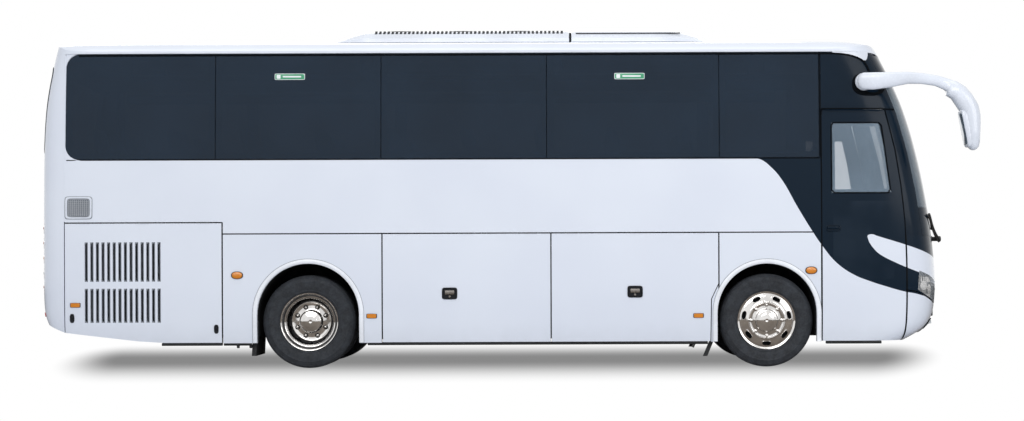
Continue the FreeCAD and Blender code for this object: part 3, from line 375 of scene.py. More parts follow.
nodeFinishes = {
    "body_paint": coachWhite, "gloss_black": glossBlack, "tinted_glass": tintedGlass,
    "clear_glass": clearGlass, "lamp_clear": clearLens, "lamp_red": redLens,
    "interior_trim": cabinPlastic, "chassis_metal": chassisBlack, "rubber": trimRubber,
    "wheel_metal": steel, "tyre": tyreRubber, "seat_fabric": seatCloth,
}
ownFinishes = {
    "mirrors": partWhite, "wheel_housings": archBlack, "windscreen": screenGlass,
    "dashboard": cabinDark, "steering_wheel": cabinDark, "front_axle": castMetal,
    "rear_axle": castMetal, "knuckle_left": castMetal, "knuckle_right": castMetal,
    "roof_ac_unit": partWhite, "luggage_bays": cabinDark, "engine_block": castMetal,
}
# slot names and the finishes listed under each; any other finish falls under body paint
finishSlots = {
    "wheel_metal": [meshGrey, chrome, steel, castMetal],
    "rubber": [seamAndShadeGrey, satinBlack, glossBlack, archBlack, sealBlack, trimRubber],
    "clear_glass": [mirrorGlass], "tyre": [tyreRubber], "interior_trim": [cabinDark],
    "seat_fabric": [seatCloth], "lamp_red": [amberLens, redLens],
}
for sub in frame["record"]["subparts"]:
    materials = nodes[sub["node"]].data.materials
    materials.clear()
    materials.append(ownFinishes.get(sub["node"], nodeFinishes[sub["material_slot"]]))
print("finishes done")


# ways of making pieces

bothSides = ((-1, "right"), (1, "left"))
shellNodes = [
    "side_wall_right", "side_wall_left", "front_panel", "front_bumper", "rear_panel",
    "gloss_panels", "windscreen", "driver_door", "passenger_door", "roof_shell",
    "side_windows", "rear_window", "engine_hatch", "engine_flap_right", "engine_flap_left",
    "headlamps", "tail_lamps", "luggage_door_right_front", "luggage_door_right_rear",
    "luggage_door_left_front", "luggage_door_left_rear", "driver_door_glass",
    "passenger_door_glass",
]


def finished(name, bm, finish, body="root", slotName=None, angle=32, way=None):
    # a bmesh becomes a piece that rides on a body; an open skin is turned towards way
    if not slotName:
        slotName = next((slot for slot, finishes in finishSlots.items() if finish in finishes),
                        "body_paint")
    bmesh.ops.remove_doubles(bm, verts=bm.verts, dist=0.00002)
    bmesh.ops.recalc_face_normals(bm, faces=bm.faces)
    if way and sum(face.normal.dot(way) * face.calc_area() for face in bm.faces) < 0:
        bmesh.ops.reverse_faces(bm, faces=bm.faces)
    mesh = bpy.data.meshes.new(name)
    bm.to_mesh(mesh)
    bm.free()
    piece = bpy.data.objects.new(name, mesh)
    bpy.context.collection.objects.link(piece)
    mesh.materials.append(finish)
    mesh.shade_smooth()
    mesh.set_sharp_from_angle(angle=math.radians(angle))
    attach(piece, body)
    return piece


def thickened(piece, thickness):
    # gives an open skin its sheet thickness, inward
    sheet = piece.modifiers.new("sheet", "SOLIDIFY")
    sheet.thickness = thickness
    sheet.offset = -1.0


def block(bm, corner, other, bevel, segments=2):
    # a box between two opposite corners, its edges rounded
    low, high = (Vector([pick(pair) for pair in zip(corner, other)]) for pick in (min, max))
    matrix = Matrix.Translation((low + high) / 2) @ Matrix.Diagonal((*(high - low), 1))
    verts = bmesh.ops.create_cube(bm, size=1, matrix=matrix)["verts"]
    edges = list({edge for vert in verts for edge in vert.link_edges})
    bmesh.ops.bevel(bm, geom=edges, offset=bevel, offset_type="OFFSET", segments=segments,
                    profile=0.5, affect="EDGES", material=-1)


def lofted(bm, rings, capped=True):
    # a skin through rings of points, each with the same number of them
    rows = [[bm.verts.new(point) for point in ring] for ring in rings]
    for first, second in zip(rows, rows[1:]):
        for place in range(len(first)):
            after = (place + 1) % len(first)
            bm.faces.new((first[place], first[after], second[after], second[place]))
    if capped:
        bm.faces.new(rows[0])
        bm.faces.new(rows[-1])


def squared(turn, width, height, power):
    # the point of a squared ellipse at an angle given as its cosine and sine
    c, s = turn
    return (width / 2 * math.copysign(abs(c) ** (2 / power), c),
            height / 2 * math.copysign(abs(s) ** (2 / power), s))


def oval(width, height, count=20, power=2.0):
    # an outline round its own middle: power 2 is an ellipse, more is squarer
    turns = [math.tau * step / count for step in range(count)]
    return [squared((math.cos(turn), math.sin(turn)), width, height, power) for turn in turns]


def turned(bm, profile, centre, steps, side, closed=True):
    # radius and reach along the wheel's line, spun once round it
    verts = [bm.verts.new(centre + Vector((radius, side * out, 0))) for radius, out in profile]
    edges = [bm.edges.new(pair) for pair in zip(verts, verts[1:])]
    if closed:
        edges.append(bm.edges.new((verts[-1], verts[0])))
    before = set(bm.faces)
    bmesh.ops.spin(bm, geom=verts + edges, cent=centre, axis=(0, 1, 0), dvec=(0, 0, 0),
                   angle=math.tau, steps=steps, use_merge=True, use_duplicate=False)
    return [face for face in bm.faces if face not in before]


def boss(bm, where, way, profile, count=20):
    # a round thing upright along way: pairs of radius and height, from its foot to its top
    turn = Vector((0, 0, 1)).rotation_difference(Vector(way)).to_matrix().to_4x4()
    matrix = Matrix.Translation(where) @ turn
    turns = [math.tau * n / count for n in range(count)]
    lofted(bm, [[matrix @ Vector((radius * math.cos(turn), radius * math.sin(turn), up))
                 for turn in turns] for radius, up in profile])


def tube(bm, points, radius, sides=10):
    # a round bar along a bent line
    points, rings = [Vector(point) for point in points], []
    for back, point, ahead in zip(points[:1] + points, points, points[1:] + points[-1:]):
        turn = (ahead - back).to_track_quat("Z", "Y").to_matrix()
        rings.append([point + turn @ Vector((radius * math.cos(math.tau * n / sides),
                                             radius * math.sin(math.tau * n / sides), 0))
                      for n in range(sides)])
    lofted(bm, rings)


def spread(start, end, count):
    return [start + (end - start) * n / (count - 1) for n in range(count)]


def stepped(start, end, fewest):
    # points on a straight line, some 60 mm apart
    steps = max(fewest, int(math.dist(start, end) / 0.06))
    return [(start[0] + (end[0] - start[0]) * n / steps,
             start[1] + (end[1] - start[1]) * n / steps) for n in range(steps + 1)]


def between(points, value):
    # the height of a broken line, given as pairs, at value
    for (x0, y0), (x1, y1) in zip(points, points[1:]):
        if min(x0, x1) <= value <= max(x0, x1):
            return y0 + (y1 - y0) * (value - x0) / (x1 - x0)
    return min(points[0], points[-1], key=lambda point: abs(value - point[0]))[1]


def shellTree():
    # the outer shell, to find where a piece sits on it
    verts, faces = [], []
    for name in shellNodes:
        mesh = nodes[name].data
        first = len(verts)
        verts += [vert.co.copy() for vert in mesh.vertices]
        faces += [[first + number for number in poly.vertices] for poly in mesh.polygons]
    return BVHTree.FromPolygons(verts, faces)


shell = shellTree()
nose, tail = (0, 1), (0, -1)        # a face is the axis that it looks along, and which way


def reach(face, across, z):
    # how far out a face lies; across is x on a side and y on the nose or the tail
    axis, way = face
    found = []
    for shift in (0, -0.016, 0.016):
        start = (across + shift, way * 3, z) if axis else (way * 7, across, z + shift)
        found.append(shell.ray_cast(Vector(start), Vector(onFace(face, 0, -1, 0)))[0])
    return max((way * hit[axis] for hit in found if hit), default=1.24)


def onFace(face, across, out, z):
    axis, way = face
    return (across, way * out, z) if axis else (way * out, across, z)


def patch(bm, face, outline, across, z, levels):
    # a piece on a face: levels are pairs of outline scale and height over the skin
    lofted(bm, [[onFace(face, across + a * scale, reach(face, across + a, z + b) + out,
                        z + b * scale) for a, b in outline] for scale, out in levels])


def strip(bm, face, path, width, proud, sunk=0.004):
    # a strip along a line on a face
    rings = []
    for (a0, z0), (a, z), (a1, z1) in zip(path[:1] + path, path, path[1:] + path[-1:]):
        along = Vector((a1 - a0, z1 - z0)).normalized()
        side = Vector((-along.y, along.x)) * width / 2
        skin = max(reach(face, a + side.x * share, z + side.y * share)
                   for share in ((0, 2, -2) if face[0] else (0,)))
        rings.append([onFace(face, a + side.x * share, skin + out, z + side.y * share)
                      for share, out in ((1, -sunk), (1, proud * 0.6), (0.7, proud),
                                         (-0.7, proud), (-1, proud * 0.6), (-1, -sunk))])
    lofted(bm, rings)


# tyres and wheels

tyre = {
    "radius": 0.479, "steps": 96, "grooveDepth": 0.013, "twinGap": 0.311,
    # one half of the section, from the bead to the tread: radius and reach across
    "wall": [(0.2855, 0.1), (0.288, 0.109), (0.3, 0.118), (0.316, 0.1245), (0.32, 0.1285),
             (0.325, 0.1265), (0.352, 0.134), (0.385, 0.1375), (0.409, 0.137), (0.412, 0.138),
             (0.416, 0.1365), (0.434, 0.132), (0.449, 0.1255), (0.452, 0.127), (0.456, 0.1225),
             (0.466, 0.117), (0.474, 0.109), (0.4768, 0.101)],
    # the ribs of one half, from the shoulder inwards
    "ribs": [(0.101, 0.066), (0.055, 0.034), (0.024, 0.0)],
    # how far the tread falls towards its shoulder, and the slope of a groove's walls
    "crown": 0.0016, "grooveSlope": 0.002,
    # cuts in the tread: from and to across it, one in how many steps, and which of them
    "cutBands": [(0.066, 0.101, 2, 1), (0.034, 0.055, 3, 0)],
    "cutWidth": 0.0045, "cutDepth": 0.008,
}


def middleOf(node):
    low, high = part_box(node)
    return (Vector(low) + Vector(high)) / 2


def tyreOutline():
    half = list(tyre["wall"])
    bottom = tyre["radius"] - tyre["grooveDepth"]
    for number, (start, end) in enumerate(tyre["ribs"]):
        top = tyre["radius"] - tyre["crown"] * (start / 0.1) ** 2
        if number:
            half += [(bottom, start + tyre["grooveSlope"]), (top, start)]
        half.append((top, end))
        if end:
            half.append((bottom, end - tyre["grooveSlope"]))
    return half + [(r, -y) for r, y in reversed(half) if y > 0]


def buildTyre(bm, centre):
    cuts = []
    for face in turned(bm, tyreOutline(), centre, tyre["steps"], 1):
        middle = face.calc_center_median() - centre
        if math.hypot(middle.x, middle.z) < tyre["radius"] - 0.004:
            continue
        number = round((math.atan2(middle.z, middle.x) % math.tau) * tyre["steps"] / math.tau - 0.5)
        if any(low < abs(middle.y) < high and number % every == rest
               for low, high, every, rest in tyre["cutBands"]):
            cuts.append(face)
    bmesh.ops.inset_individual(bm, faces=cuts, thickness=tyre["cutWidth"], depth=0.0)
    for face in cuts:
        inward = face.calc_center_median() - centre
        inward.y = 0
        bmesh.ops.translate(bm, verts=list(face.verts),
                            vec=inward.normalized() * -tyre["cutDepth"])


for side, word in bothSides:
    for name, node, body, places in (("front_tyre_", "tyre_front_", "front_wheel_", (0,)),
                                     ("rear_tyres_", "tyres_rear_", "rear_wheels_", (-0.5, 0.5))):
        bm = bmesh.new()
        for place in places:
            buildTyre(bm, middleOf(node + word) + Vector((0, place * tyre["twinGap"], 0)))
        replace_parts(finished(name + word, bm, tyreRubber, body + word, angle=25), node + word)

frontWheel = {
    "rim": [(0.2855, 0.105), (0.2855, -0.105), (0.27, -0.105), (0.262, -0.085), (0.258, 0.0),
            (0.262, 0.08), (0.27, 0.105)],
    "backPlate": [(0.262, 0.06), (0.262, 0.07), (0.1, 0.1), (0.1, 0.09)],
    # the chrome cover: radius and reach outwards from the tyre's middle
    "edge": [(0.2835, 0.098), (0.29, 0.109), (0.297, 0.115), (0.2995, 0.12), (0.296, 0.1245),
             (0.289, 0.1225), (0.284, 0.116), (0.276, 0.113), (0.27, 0.1155), (0.266, 0.119)],
    "band": [(0.266, 0.119), (0.25, 0.126), (0.232, 0.1305), (0.208, 0.134)],
    "face": [(0.208, 0.134), (0.194, 0.135), (0.19, 0.139), (0.185, 0.142), (0.18, 0.139),
             (0.176, 0.133), (0.172, 0.1315), (0.125, 0.1345), (0.119, 0.137), (0.116, 0.142),
             (0.113, 0.153), (0.106, 0.16), (0.094, 0.1635), (0.074, 0.165), (0.068, 0.168),
             (0.06, 0.171), (0.04, 0.1738), (0.018, 0.1746), (0.0005, 0.1748)],
    # steps round the rim and the cover, and the cover's sheet
    "rimSteps": 96, "steps": 112, "sheet": 0.0015,
    # the holes: width, height and squareness, and the points along each one's field
    "holes": 7, "hole": (0.092, 0.046, 2.5), "holeSteps": 16, "lip": 0.012,
    # nuts and studs: profile of radius and height, then where they stand
    "nut": [(0.0185, 0.0), (0.0185, 0.006), (0.0165, 0.009), (0.015, 0.018), (0.011, 0.0235),
            (0.005, 0.026), (0.0008, 0.0265)],
    "stud": [(0.008, 0.0), (0.008, 0.005), (0.006, 0.008), (0.0008, 0.009)],
    "nuts": 8, "firstNut": math.pi / 2, "nutReach": 0.157, "nutOut": 0.13,
    "studAngle": 0.16, "studReach": 0.199, "studOut": 0.134,
}
rearWheel = {
    "rim": [(0.2855, 0.262), (0.2855, -0.262), (0.27, -0.262), (0.261, -0.235), (0.256, -0.07),
            (0.256, 0.07), (0.259, 0.2), (0.262, 0.24), (0.27, 0.262)],
    # reach outwards is from the middle of the pair
    "trim": [(0.2835, 0.252), (0.29, 0.264), (0.297, 0.272), (0.2995, 0.278), (0.296, 0.283),
             (0.289, 0.281), (0.283, 0.272), (0.276, 0.255), (0.268, 0.238), (0.259, 0.229),
             (0.251, 0.227), (0.246, 0.231), (0.2415, 0.228), (0.239, 0.216), (0.2385, 0.195)],
    "band": [(0.257, 0.066), (0.24, 0.08), (0.208, 0.086)],
    "face": [(0.208, 0.086), (0.2075, 0.094), (0.204, 0.1), (0.198, 0.101), (0.192, 0.097),
             (0.186, 0.095), (0.122, 0.095), (0.117, 0.099), (0.1145, 0.108), (0.114, 0.165),
             (0.11, 0.176), (0.1, 0.181), (0.072, 0.183), (0.067, 0.187), (0.05, 0.191),
             (0.02, 0.1932), (0.0005, 0.1934)],
    "rimSteps": 96, "steps": 120, "sheet": 0.0015, "discSheet": 0.004,
    "holes": 10, "hole": (0.058, 0.024, 2.4), "holeSteps": 12, "lip": 0.015,
    "nuts": 8, "firstNut": math.pi / 8, "nutReach": 0.158, "nutOut": 0.0945,
    "washer": [(0.0255, 0.0), (0.0255, 0.003), (0.022, 0.005), (0.016, 0.0055)],
    "nut": [(0.0165, 0.004), (0.0165, 0.016), (0.0145, 0.022), (0.0105, 0.027), (0.005, 0.0295),
            (0.0008, 0.03)],
}


def pierced(bm, centre, side, wheel):
    # a ring of sheet metal with holes, its first hole straight down
    count, lip, profile = wheel["holes"], wheel["lip"], wheel["band"]
    outer, inner = profile[0][0], profile[-1][0]
    middle = (inner + outer) / 2
    width, height, power = wheel["hole"]
    halfTurn = math.pi / count
    along, up = wheel["holeSteps"], 4
    edge = [(1 - 2 * n / along, 1) for n in range(along)]
    edge += [(-1, 1 - 2 * n / up) for n in range(up)]
    edge += [(2 * n / along - 1, -1) for n in range(along)]
    edge += [(1, 2 * n / up - 1) for n in range(up)]
    for number in range(count):
        first = number * 2 * halfTurn - math.pi / 2
        rings = []
        for share, scale, lift in ((0, 1, 0), (0.5, 1, 0), (0.85, 1, 0), (1, 1, 0.002),
                                   (1, 0.95, 0.0015), (1, 0.92, -lip)):
            ring = []
            for a, b in edge:
                a, b = a * halfTurn * middle, b * (outer - inner) / 2
                turn = math.atan2(b / height, a / width)
                u, v = squared((math.cos(turn), math.sin(turn)), scale * width, scale * height,
                               power)
                u, v = a + (u - a) * share, b + (v - b) * share
                radius, turn = middle + v, first + u / middle
                ring.append(onWheel(centre, side, radius, between(profile, radius) + lift, turn))
            rings.append(ring)
        lofted(bm, rings, capped=False)


def onWheel(centre, side, radius, out, turn):
    return centre + Vector((radius * math.cos(turn), side * out, radius * math.sin(turn)))


def bolts(bm, centre, side, wheel, profile):
    for n in range(wheel["nuts"]):
        where = onWheel(centre, side, wheel["nutReach"], wheel["nutOut"],
                        wheel["firstNut"] + math.tau * n / wheel["nuts"])
        boss(bm, where, (0, side, 0), wheel[profile])


for side, word in bothSides:
    centre, body, out = middleOf("tyre_front_" + word), "front_wheel_" + word, (0, side, 0)
    bm = bmesh.new()
    for part in ("rim", "backPlate"):
        turned(bm, frontWheel[part], centre, frontWheel["rimSteps"], side)
    rim = finished("front_rim_" + word, bm, archBlack, body, "wheel_metal")
    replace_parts(rim, "wheel_front_" + word)
    bm = bmesh.new()
    turned(bm, frontWheel["edge"], centre, frontWheel["steps"], side, closed=False)
    pierced(bm, centre, side, frontWheel)
    turned(bm, frontWheel["face"], centre, frontWheel["steps"], side, closed=False)
    cover = finished("front_cover_" + word, bm, chrome, body, angle=50, way=out)
    thickened(cover, frontWheel["sheet"])
    bm = bmesh.new()
    bolts(bm, centre, side, frontWheel, "nut")
    for turn in (frontWheel["studAngle"], -frontWheel["studAngle"]):
        where = onWheel(centre, side, frontWheel["studReach"], frontWheel["studOut"],
                        frontWheel["firstNut"] + turn)
        boss(bm, where, out, frontWheel["stud"])
    finished("front_nuts_" + word, bm, chrome, body, angle=40)

for side, word in bothSides:
    centre, body, out = middleOf("tyres_rear_" + word), "rear_wheels_" + word, (0, side, 0)
    bm = bmesh.new()
    turned(bm, rearWheel["rim"], centre, rearWheel["rimSteps"], side)
    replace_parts(finished("rear_rim_" + word, bm, castMetal, body), "wheel_rear_" + word)
    bm = bmesh.new()
    pierced(bm, centre, side, rearWheel)
    disc = finished("rear_disc_" + word, bm, castMetal, body, way=out)
    thickened(disc, rearWheel["discSheet"])
    bm = bmesh.new()
    for part in ("trim", "face"):
        turned(bm, rearWheel[part], centre, rearWheel["steps"], side, closed=False)
    cover = finished("rear_cover_" + word, bm, chrome, body, angle=50, way=out)
    thickened(cover, rearWheel["sheet"])
    nuts, washers = bmesh.new(), bmesh.new()
    bolts(washers, centre, side, rearWheel, "washer")
    bolts(nuts, centre, side, rearWheel, "nut")
    finished("rear_washers_" + word, washers, trimRubber, body, "wheel_metal")
    finished("rear_nuts_" + word, nuts, chrome, body, angle=40)
print("wheels done")


# the side: seals, markers, locks, handles, labels, vents

def level(rear, front, z, count):
    return [(x, z) for x in spread(rear, front, count)]


def upright(x, foot, top, count):
    return [(x, z) for z in spread(foot, top, count)]


panes = {
    "seams": [-2.994, -1.296, 0.402, 2.172, 3.203], "bottom": 2.15, "top": 3.232,
    # strips: width, height over the skin and depth under it
    "seamStrip": (0.009, -0.001, 0.006), "beltStrip": (0.01, 0.001, 0.005),
    "glassTopStrip": (0.018, 0.0015, 0.004), "gutterStrip": (0.014, 0.007, 0.006),
    # level lines: rear end, front end, height and number of points
    "belt": (-4.52, 3.2, 2.143, 40), "glassTop": (-4.4, 3.34, 3.218, 84),
    "gutter": (-4.52, 3.6, 3.244, 60),
    "glassTopEnd": [(3.42, 3.214), (3.5, 3.204), (3.56, 3.19), (3.6, 3.176), (3.64, 3.157),
                    (3.668, 3.136), (3.698, 3.092), (3.722, 3.036)],
    # lower edge of the white over the front corner
    "brow": [(3.34, 3.228), (3.42, 3.224), (3.5, 3.214), (3.56, 3.2), (3.6, 3.186),
             (3.64, 3.167), (3.668, 3.15), (3.69, 3.15), (3.705, 3.172), (3.715, 3.212)],
    "browProud": 0.0022, "browThick": 0.008,
}
for side, word in bothSides:
    bm, face = bmesh.new(), (1, side)
    for x in panes["seams"]:
        strip(bm, face, upright(x, panes["bottom"], panes["top"], 16), *panes["seamStrip"])
    strip(bm, face, level(*panes["belt"]), *panes["beltStrip"])
    strip(bm, face, level(*panes["glassTop"]) + panes["glassTopEnd"], *panes["glassTopStrip"])
    finished("pane_seals_" + word, bm, sealBlack)
    bm = bmesh.new()
    strip(bm, face, level(*panes["gutter"]), *panes["gutterStrip"])
    finished("gutter_" + word, bm, partWhite)
    # the roof's edge comes down a little towards the screen
    bm, rings, top = bmesh.new(), [], panes["gutter"][2]
    for x, foot in panes["brow"]:
        outer = [(x, side * (reach(face, x, z) + panes["browProud"]), z)
                 for z in [top - (top - foot) * n / 3 for n in range(4)]]
        rings.append(outer + [(x, y - side * panes["browThick"], z)
                              for x, y, z in reversed(outer)])
    lofted(bm, rings)
    finished("roof_brow_" + word, bm, partWhite)

amber = {
    # outlines, then levels: pairs of outline scale and height over the skin
    "bar": (0.101, 0.045, 28, 7), "egg": (0.112, 0.072, 28, 2.3),
    "barRim": [(1.08, -0.004), (1.08, 0.004), (1, 0.006)],
    "barLens": [(0.93, 0), (0.93, 0.0075), (0.84, 0.0105)],
    "eggRim": [(1.1, -0.004), (1.1, 0.005), (1, 0.007)],
    "eggLens": [(0.95, 0), (0.93, 0.012), (0.75, 0.02), (0.4, 0.0245)],
    # what each group rides, and its lamps
    "groups": [("root", [("bar", -1.394, 0.538), ("egg", -2.77, 0.96), ("egg", 3.107, 0.991)]),
               ("engine_flap_SIDE", [("bar", -4.427, 0.659)]),
               ("luggage_door_SIDE_front", [("bar", 1.952, 0.532)])],
}
for side, word in bothSides:
    for group, (body, lamps) in enumerate(amber["groups"]):
        bm, rim, name = bmesh.new(), bmesh.new(), f"{word}_{group}"
        body = body.replace("SIDE", word)
        for kind, x, z in lamps:
            patch(rim, (1, side), oval(*amber[kind]), x, z, amber[kind + "Rim"])
            patch(bm, (1, side), oval(*amber[kind]), x, z, amber[kind + "Lens"])
        finished("side_markers_" + name, bm, amberLens, body)
        finished("side_marker_rims_" + name, rim, trimRubber, body)

lock = {
    "outline": (0.047, 0.092, 24, 3), "places": [(-4.461, 0.524), (-2.985, 0.409)],
    "plate": [(1, -0.004), (1, 0.004), (0.88, 0.007), (0.6, 0.0045)],
    "key": [(0.012, 0), (0.012, 0.006), (0.009, 0.008)],
}
for side, word in bothSides:
    bm, face = bmesh.new(), (1, side)
    for x, z in lock["places"]:
        patch(bm, face, oval(*lock["outline"]), x, z, lock["plate"])
        where = onFace(face, x, reach(face, x, z) + 0.004, z + 0.01)
        boss(bm, where, (0, side, 0), lock["key"], 16)
    finished("flap_locks_" + word, bm, satinBlack, "engine_flap_" + word)

handle = {
    "outline": (0.157, 0.121, 36, 6),
    "places": [("rear", -0.5955, 0.7665), ("front", 1.303, 0.7785)],
    "plate": [(1, -0.004), (1, 0.006), (0.95, 0.009), (0.86, 0.009), (0.8, 0.002)],
    "key": [(0.011, 0), (0.011, 0.007), (0.008, 0.009)],
    "gripHalf": 0.048, "gripOut": (0.003, 0.012), "gripUp": (-0.012, 0.03), "keyUp": -0.032,
}
for side, word in bothSides:
    face = (1, side)
    for place, x, z in handle["places"]:
        bm, grip, name = bmesh.new(), bmesh.new(), f"{word}_{place}"
        patch(bm, face, oval(*handle["outline"]), x, z, handle["plate"])
        skin = reach(face, x, z)
        corners = [onFace(face, x + along, skin + out, z + up) for along, out, up in
                   zip((-handle["gripHalf"], handle["gripHalf"]), handle["gripOut"],
                       handle["gripUp"])]
        block(grip, *corners, 0.004, 3)
        boss(grip, onFace(face, x, skin + 0.002, z + handle["keyUp"]), (0, side, 0),
             handle["key"], 16)
        finished("handle_plate_" + name, bm, satinBlack, "luggage_door_" + name)
        finished("handle_grip_" + name, grip, steel, "luggage_door_" + name)

raised = [(1, 0.001), (1, 0.0024), (0.99, 0.0027)]
label = {
    "places": [(-2.2315, 2.9965), (1.2545, 2.9915)],
    # layers: outline, way forward, levels
    "plate": [((0.3, 0.054, 36, 14), 0, [(1, 0), (1, 0.0016), (0.995, 0.0019)])],
    "marks": [((0.31, 0.064, 36, 14), 0, [(1, -0.001), (1, 0.0006), (0.995, 0.0009)]),
              ((0.04, 0.04, 20, 8), -0.115, raised), ((0.19, 0.016, 28, 10), 0.022, raised)],
}
for side, word in bothSides:
    for part, name, finish in (("plate", "exit_labels_", labelGreen),
                               ("marks", "exit_label_marks_", labelWhite)):
        bm = bmesh.new()
        for x, z in label["places"]:
            for outline, ahead, levels in label[part]:
                patch(bm, (1, side), oval(*outline), x + ahead, z, levels)
        finished(name + word, bm, finish)

vent = {
    "low": (-4.53, 1.543), "high": (-4.256, 1.768), "bars": 11,
    # how far the mesh stays inside the frame, along and up
    "inset": (0.032, 0.028),
    "frame": [(1, -0.004), (1, 0.005), (0.965, 0.009), (0.86, 0.009), (0.84, 0.001)],
    "well": [(0.83, 0), (0.83, 0.0016), (0.82, 0.002)],
    "edging": [(1.045, -0.004), (1.045, 0.002), (1.03, 0.003), (1, 0.003)],
}
for side, word in bothSides:
    (x0, z0), (x1, z1) = vent["low"], vent["high"]
    along, up = vent["inset"]
    rear, front, foot, top = x0 + along, x1 - along, z0 + up, z1 - up
    for part, finish in (("frame", partWhite), ("well", satinBlack), ("mesh", meshGrey),
                         ("edging", seamAndShadeGrey)):
        bm = bmesh.new()
        if part in vent:
            patch(bm, (1, side), oval(x1 - x0, z1 - z0, 56, 9), (x0 + x1) / 2, (z0 + z1) / 2,
                  vent[part])
        else:
            for x in spread(rear, front, vent["bars"]):
                strip(bm, (1, side), upright(x, foot, top, 8), 0.005, 0.0055, 0)
            for z in spread(foot, top, vent["bars"] - 2):
                strip(bm, (1, side), level(rear, front, z, 8), 0.005, 0.0045, 0)
        finished(f"vent_{part}_{word}", bm, finish)
print("side furniture done")


# mirrors

# x, z, way down in degrees, half height, y outwards and half width of each section
armRoot = [(3.586, 2.925, 0, 0.02, 1.255, 0.015), (3.6, 2.925, 0, 0.06, 1.258, 0.03),
           (3.64, 2.925, 0, 0.086, 1.262, 0.04)]
arm = {
    "sections": armRoot + [
        (3.74, 2.923, 0, 0.089, 1.27, 0.046), (3.894, 2.933, -4, 0.08, 1.28, 0.046),
        (4.089, 2.953, -2, 0.062, 1.29, 0.045), (4.24, 2.945, 6, 0.056, 1.29, 0.045),
        (4.382, 2.922, 14, 0.055, 1.295, 0.047), (4.48, 2.886, 26, 0.061, 1.3, 0.055),
        (4.516, 2.866, 31, 0.066, 1.303, 0.068), (4.53, 2.844, 37, 0.09, 1.305, 0.095),
        (4.604, 2.796, 48, 0.093, 1.308, 0.108), (4.66, 2.722, 60, 0.099, 1.312, 0.116),
        (4.708, 2.64, 72, 0.099, 1.318, 0.119), (4.725, 2.555, 80, 0.098, 1.32, 0.119),
        (4.733, 2.48, 84, 0.092, 1.32, 0.119), (4.738, 2.394, 88, 0.082, 1.32, 0.119),
        (4.743, 2.31, 92, 0.073, 1.32, 0.115), (4.748, 2.25, 94, 0.056, 1.32, 0.098),
        (4.748, 2.222, 94, 0.034, 1.32, 0.065), (4.747, 2.21, 94, 0.012, 1.32, 0.03)],
    "glass": (4.664, 1.32, 2.43), "glassTilt": -10.6, "glassSize": (0.19, 0.33),
}
shortArm = {
    "sections": armRoot + [
        (3.74, 2.925, 0, 0.087, 1.27, 0.046), (3.894, 2.932, 0, 0.08, 1.28, 0.047),
        (4.01, 2.94, 12, 0.07, 1.29, 0.055), (4.075, 2.922, 40, 0.066, 1.305, 0.08),
        (4.108, 2.885, 65, 0.072, 1.315, 0.108), (4.122, 2.84, 80, 0.08, 1.32, 0.118),
        (4.122, 2.77, 90, 0.084, 1.32, 0.119), (4.118, 2.715, 90, 0.076, 1.32, 0.116),
        (4.116, 2.682, 90, 0.056, 1.32, 0.098), (4.115, 2.667, 90, 0.03, 1.32, 0.06),
        (4.115, 2.663, 90, 0.01, 1.32, 0.025)],
    "glass": (4.04, 1.32, 2.79), "glassTilt": 0.0, "glassSize": (0.19, 0.2),
}
mirror = {
    "foot": [(0.09, -0.1), (0.09, 0.02), (0.08, 0.035), (0.05, 0.045)],
    # shell and pane: growth, then scale and way ahead of each level
    "shell": (1.16, [(0.92, 0.075), (1, 0.035), (1.02, 0), (0.99, -0.014), (0.94, -0.018),
                     (0.87, -0.016)]),
    "glass": (0.99, [(1, -0.01), (1, -0.0185), (0.98, -0.0195)]),
    # the dark cup in which the foot sits
    "cup": (3.716, 2.902), "cupOutline": (0.35, 0.24, 44, 2.6),
    "cupLevels": [(1, -0.004), (1, 0.006), (0.96, 0.011), (0.88, 0.012), (0.82, 0.004)],
}


def mirrorHead(shape, side, word):
    bm, rings = bmesh.new(), []
    for x, z, down, tall, y, wide in shape["sections"]:
        turn = math.radians(down)
        rings.append([(x + b * math.sin(turn), side * (y + a), z + b * math.cos(turn))
                      for a, b in oval(2 * wide, 2 * tall, 28, 2.5)])
    lofted(bm, rings)
    x, z = shape["sections"][2][:2]
    boss(bm, (x + 0.02, side * 1.19, z), (0, side, 0), mirror["foot"], 28)
    head = finished("mirror_arm_" + word, bm, partWhite, angle=45)
    x, y, z = shape["glass"]
    tilt = Matrix.Rotation(math.radians(shape["glassTilt"]), 4, "Y")
    place = Matrix.Translation((x, side * y, z)) @ tilt
    for part, finish, angle in (("shell", partWhite, 50), ("glass", mirrorGlass, 32)):
        bm = bmesh.new()
        grown, levels = mirror[part]
        lofted(bm, [[place @ Vector((out, a * grown * scale, b * grown * scale))
                     for a, b in oval(*shape["glassSize"], 40, 5)] for scale, out in levels])
        finished(f"mirror_{part}_{word}", bm, finish, angle=angle)
    return head


right, left = mirrorHead(arm, -1, "right"), mirrorHead(shortArm, 1, "left")
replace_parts(right, "mirrors")
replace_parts(left, "mirrors")
bm = bmesh.new()
for side, word in bothSides:
    patch(bm, (1, side), oval(*mirror["cupOutline"]), *mirror["cup"], mirror["cupLevels"])
finished("mirror_cups", bm, sealBlack)
print("mirrors done")


# the roof: climate unit, hatches

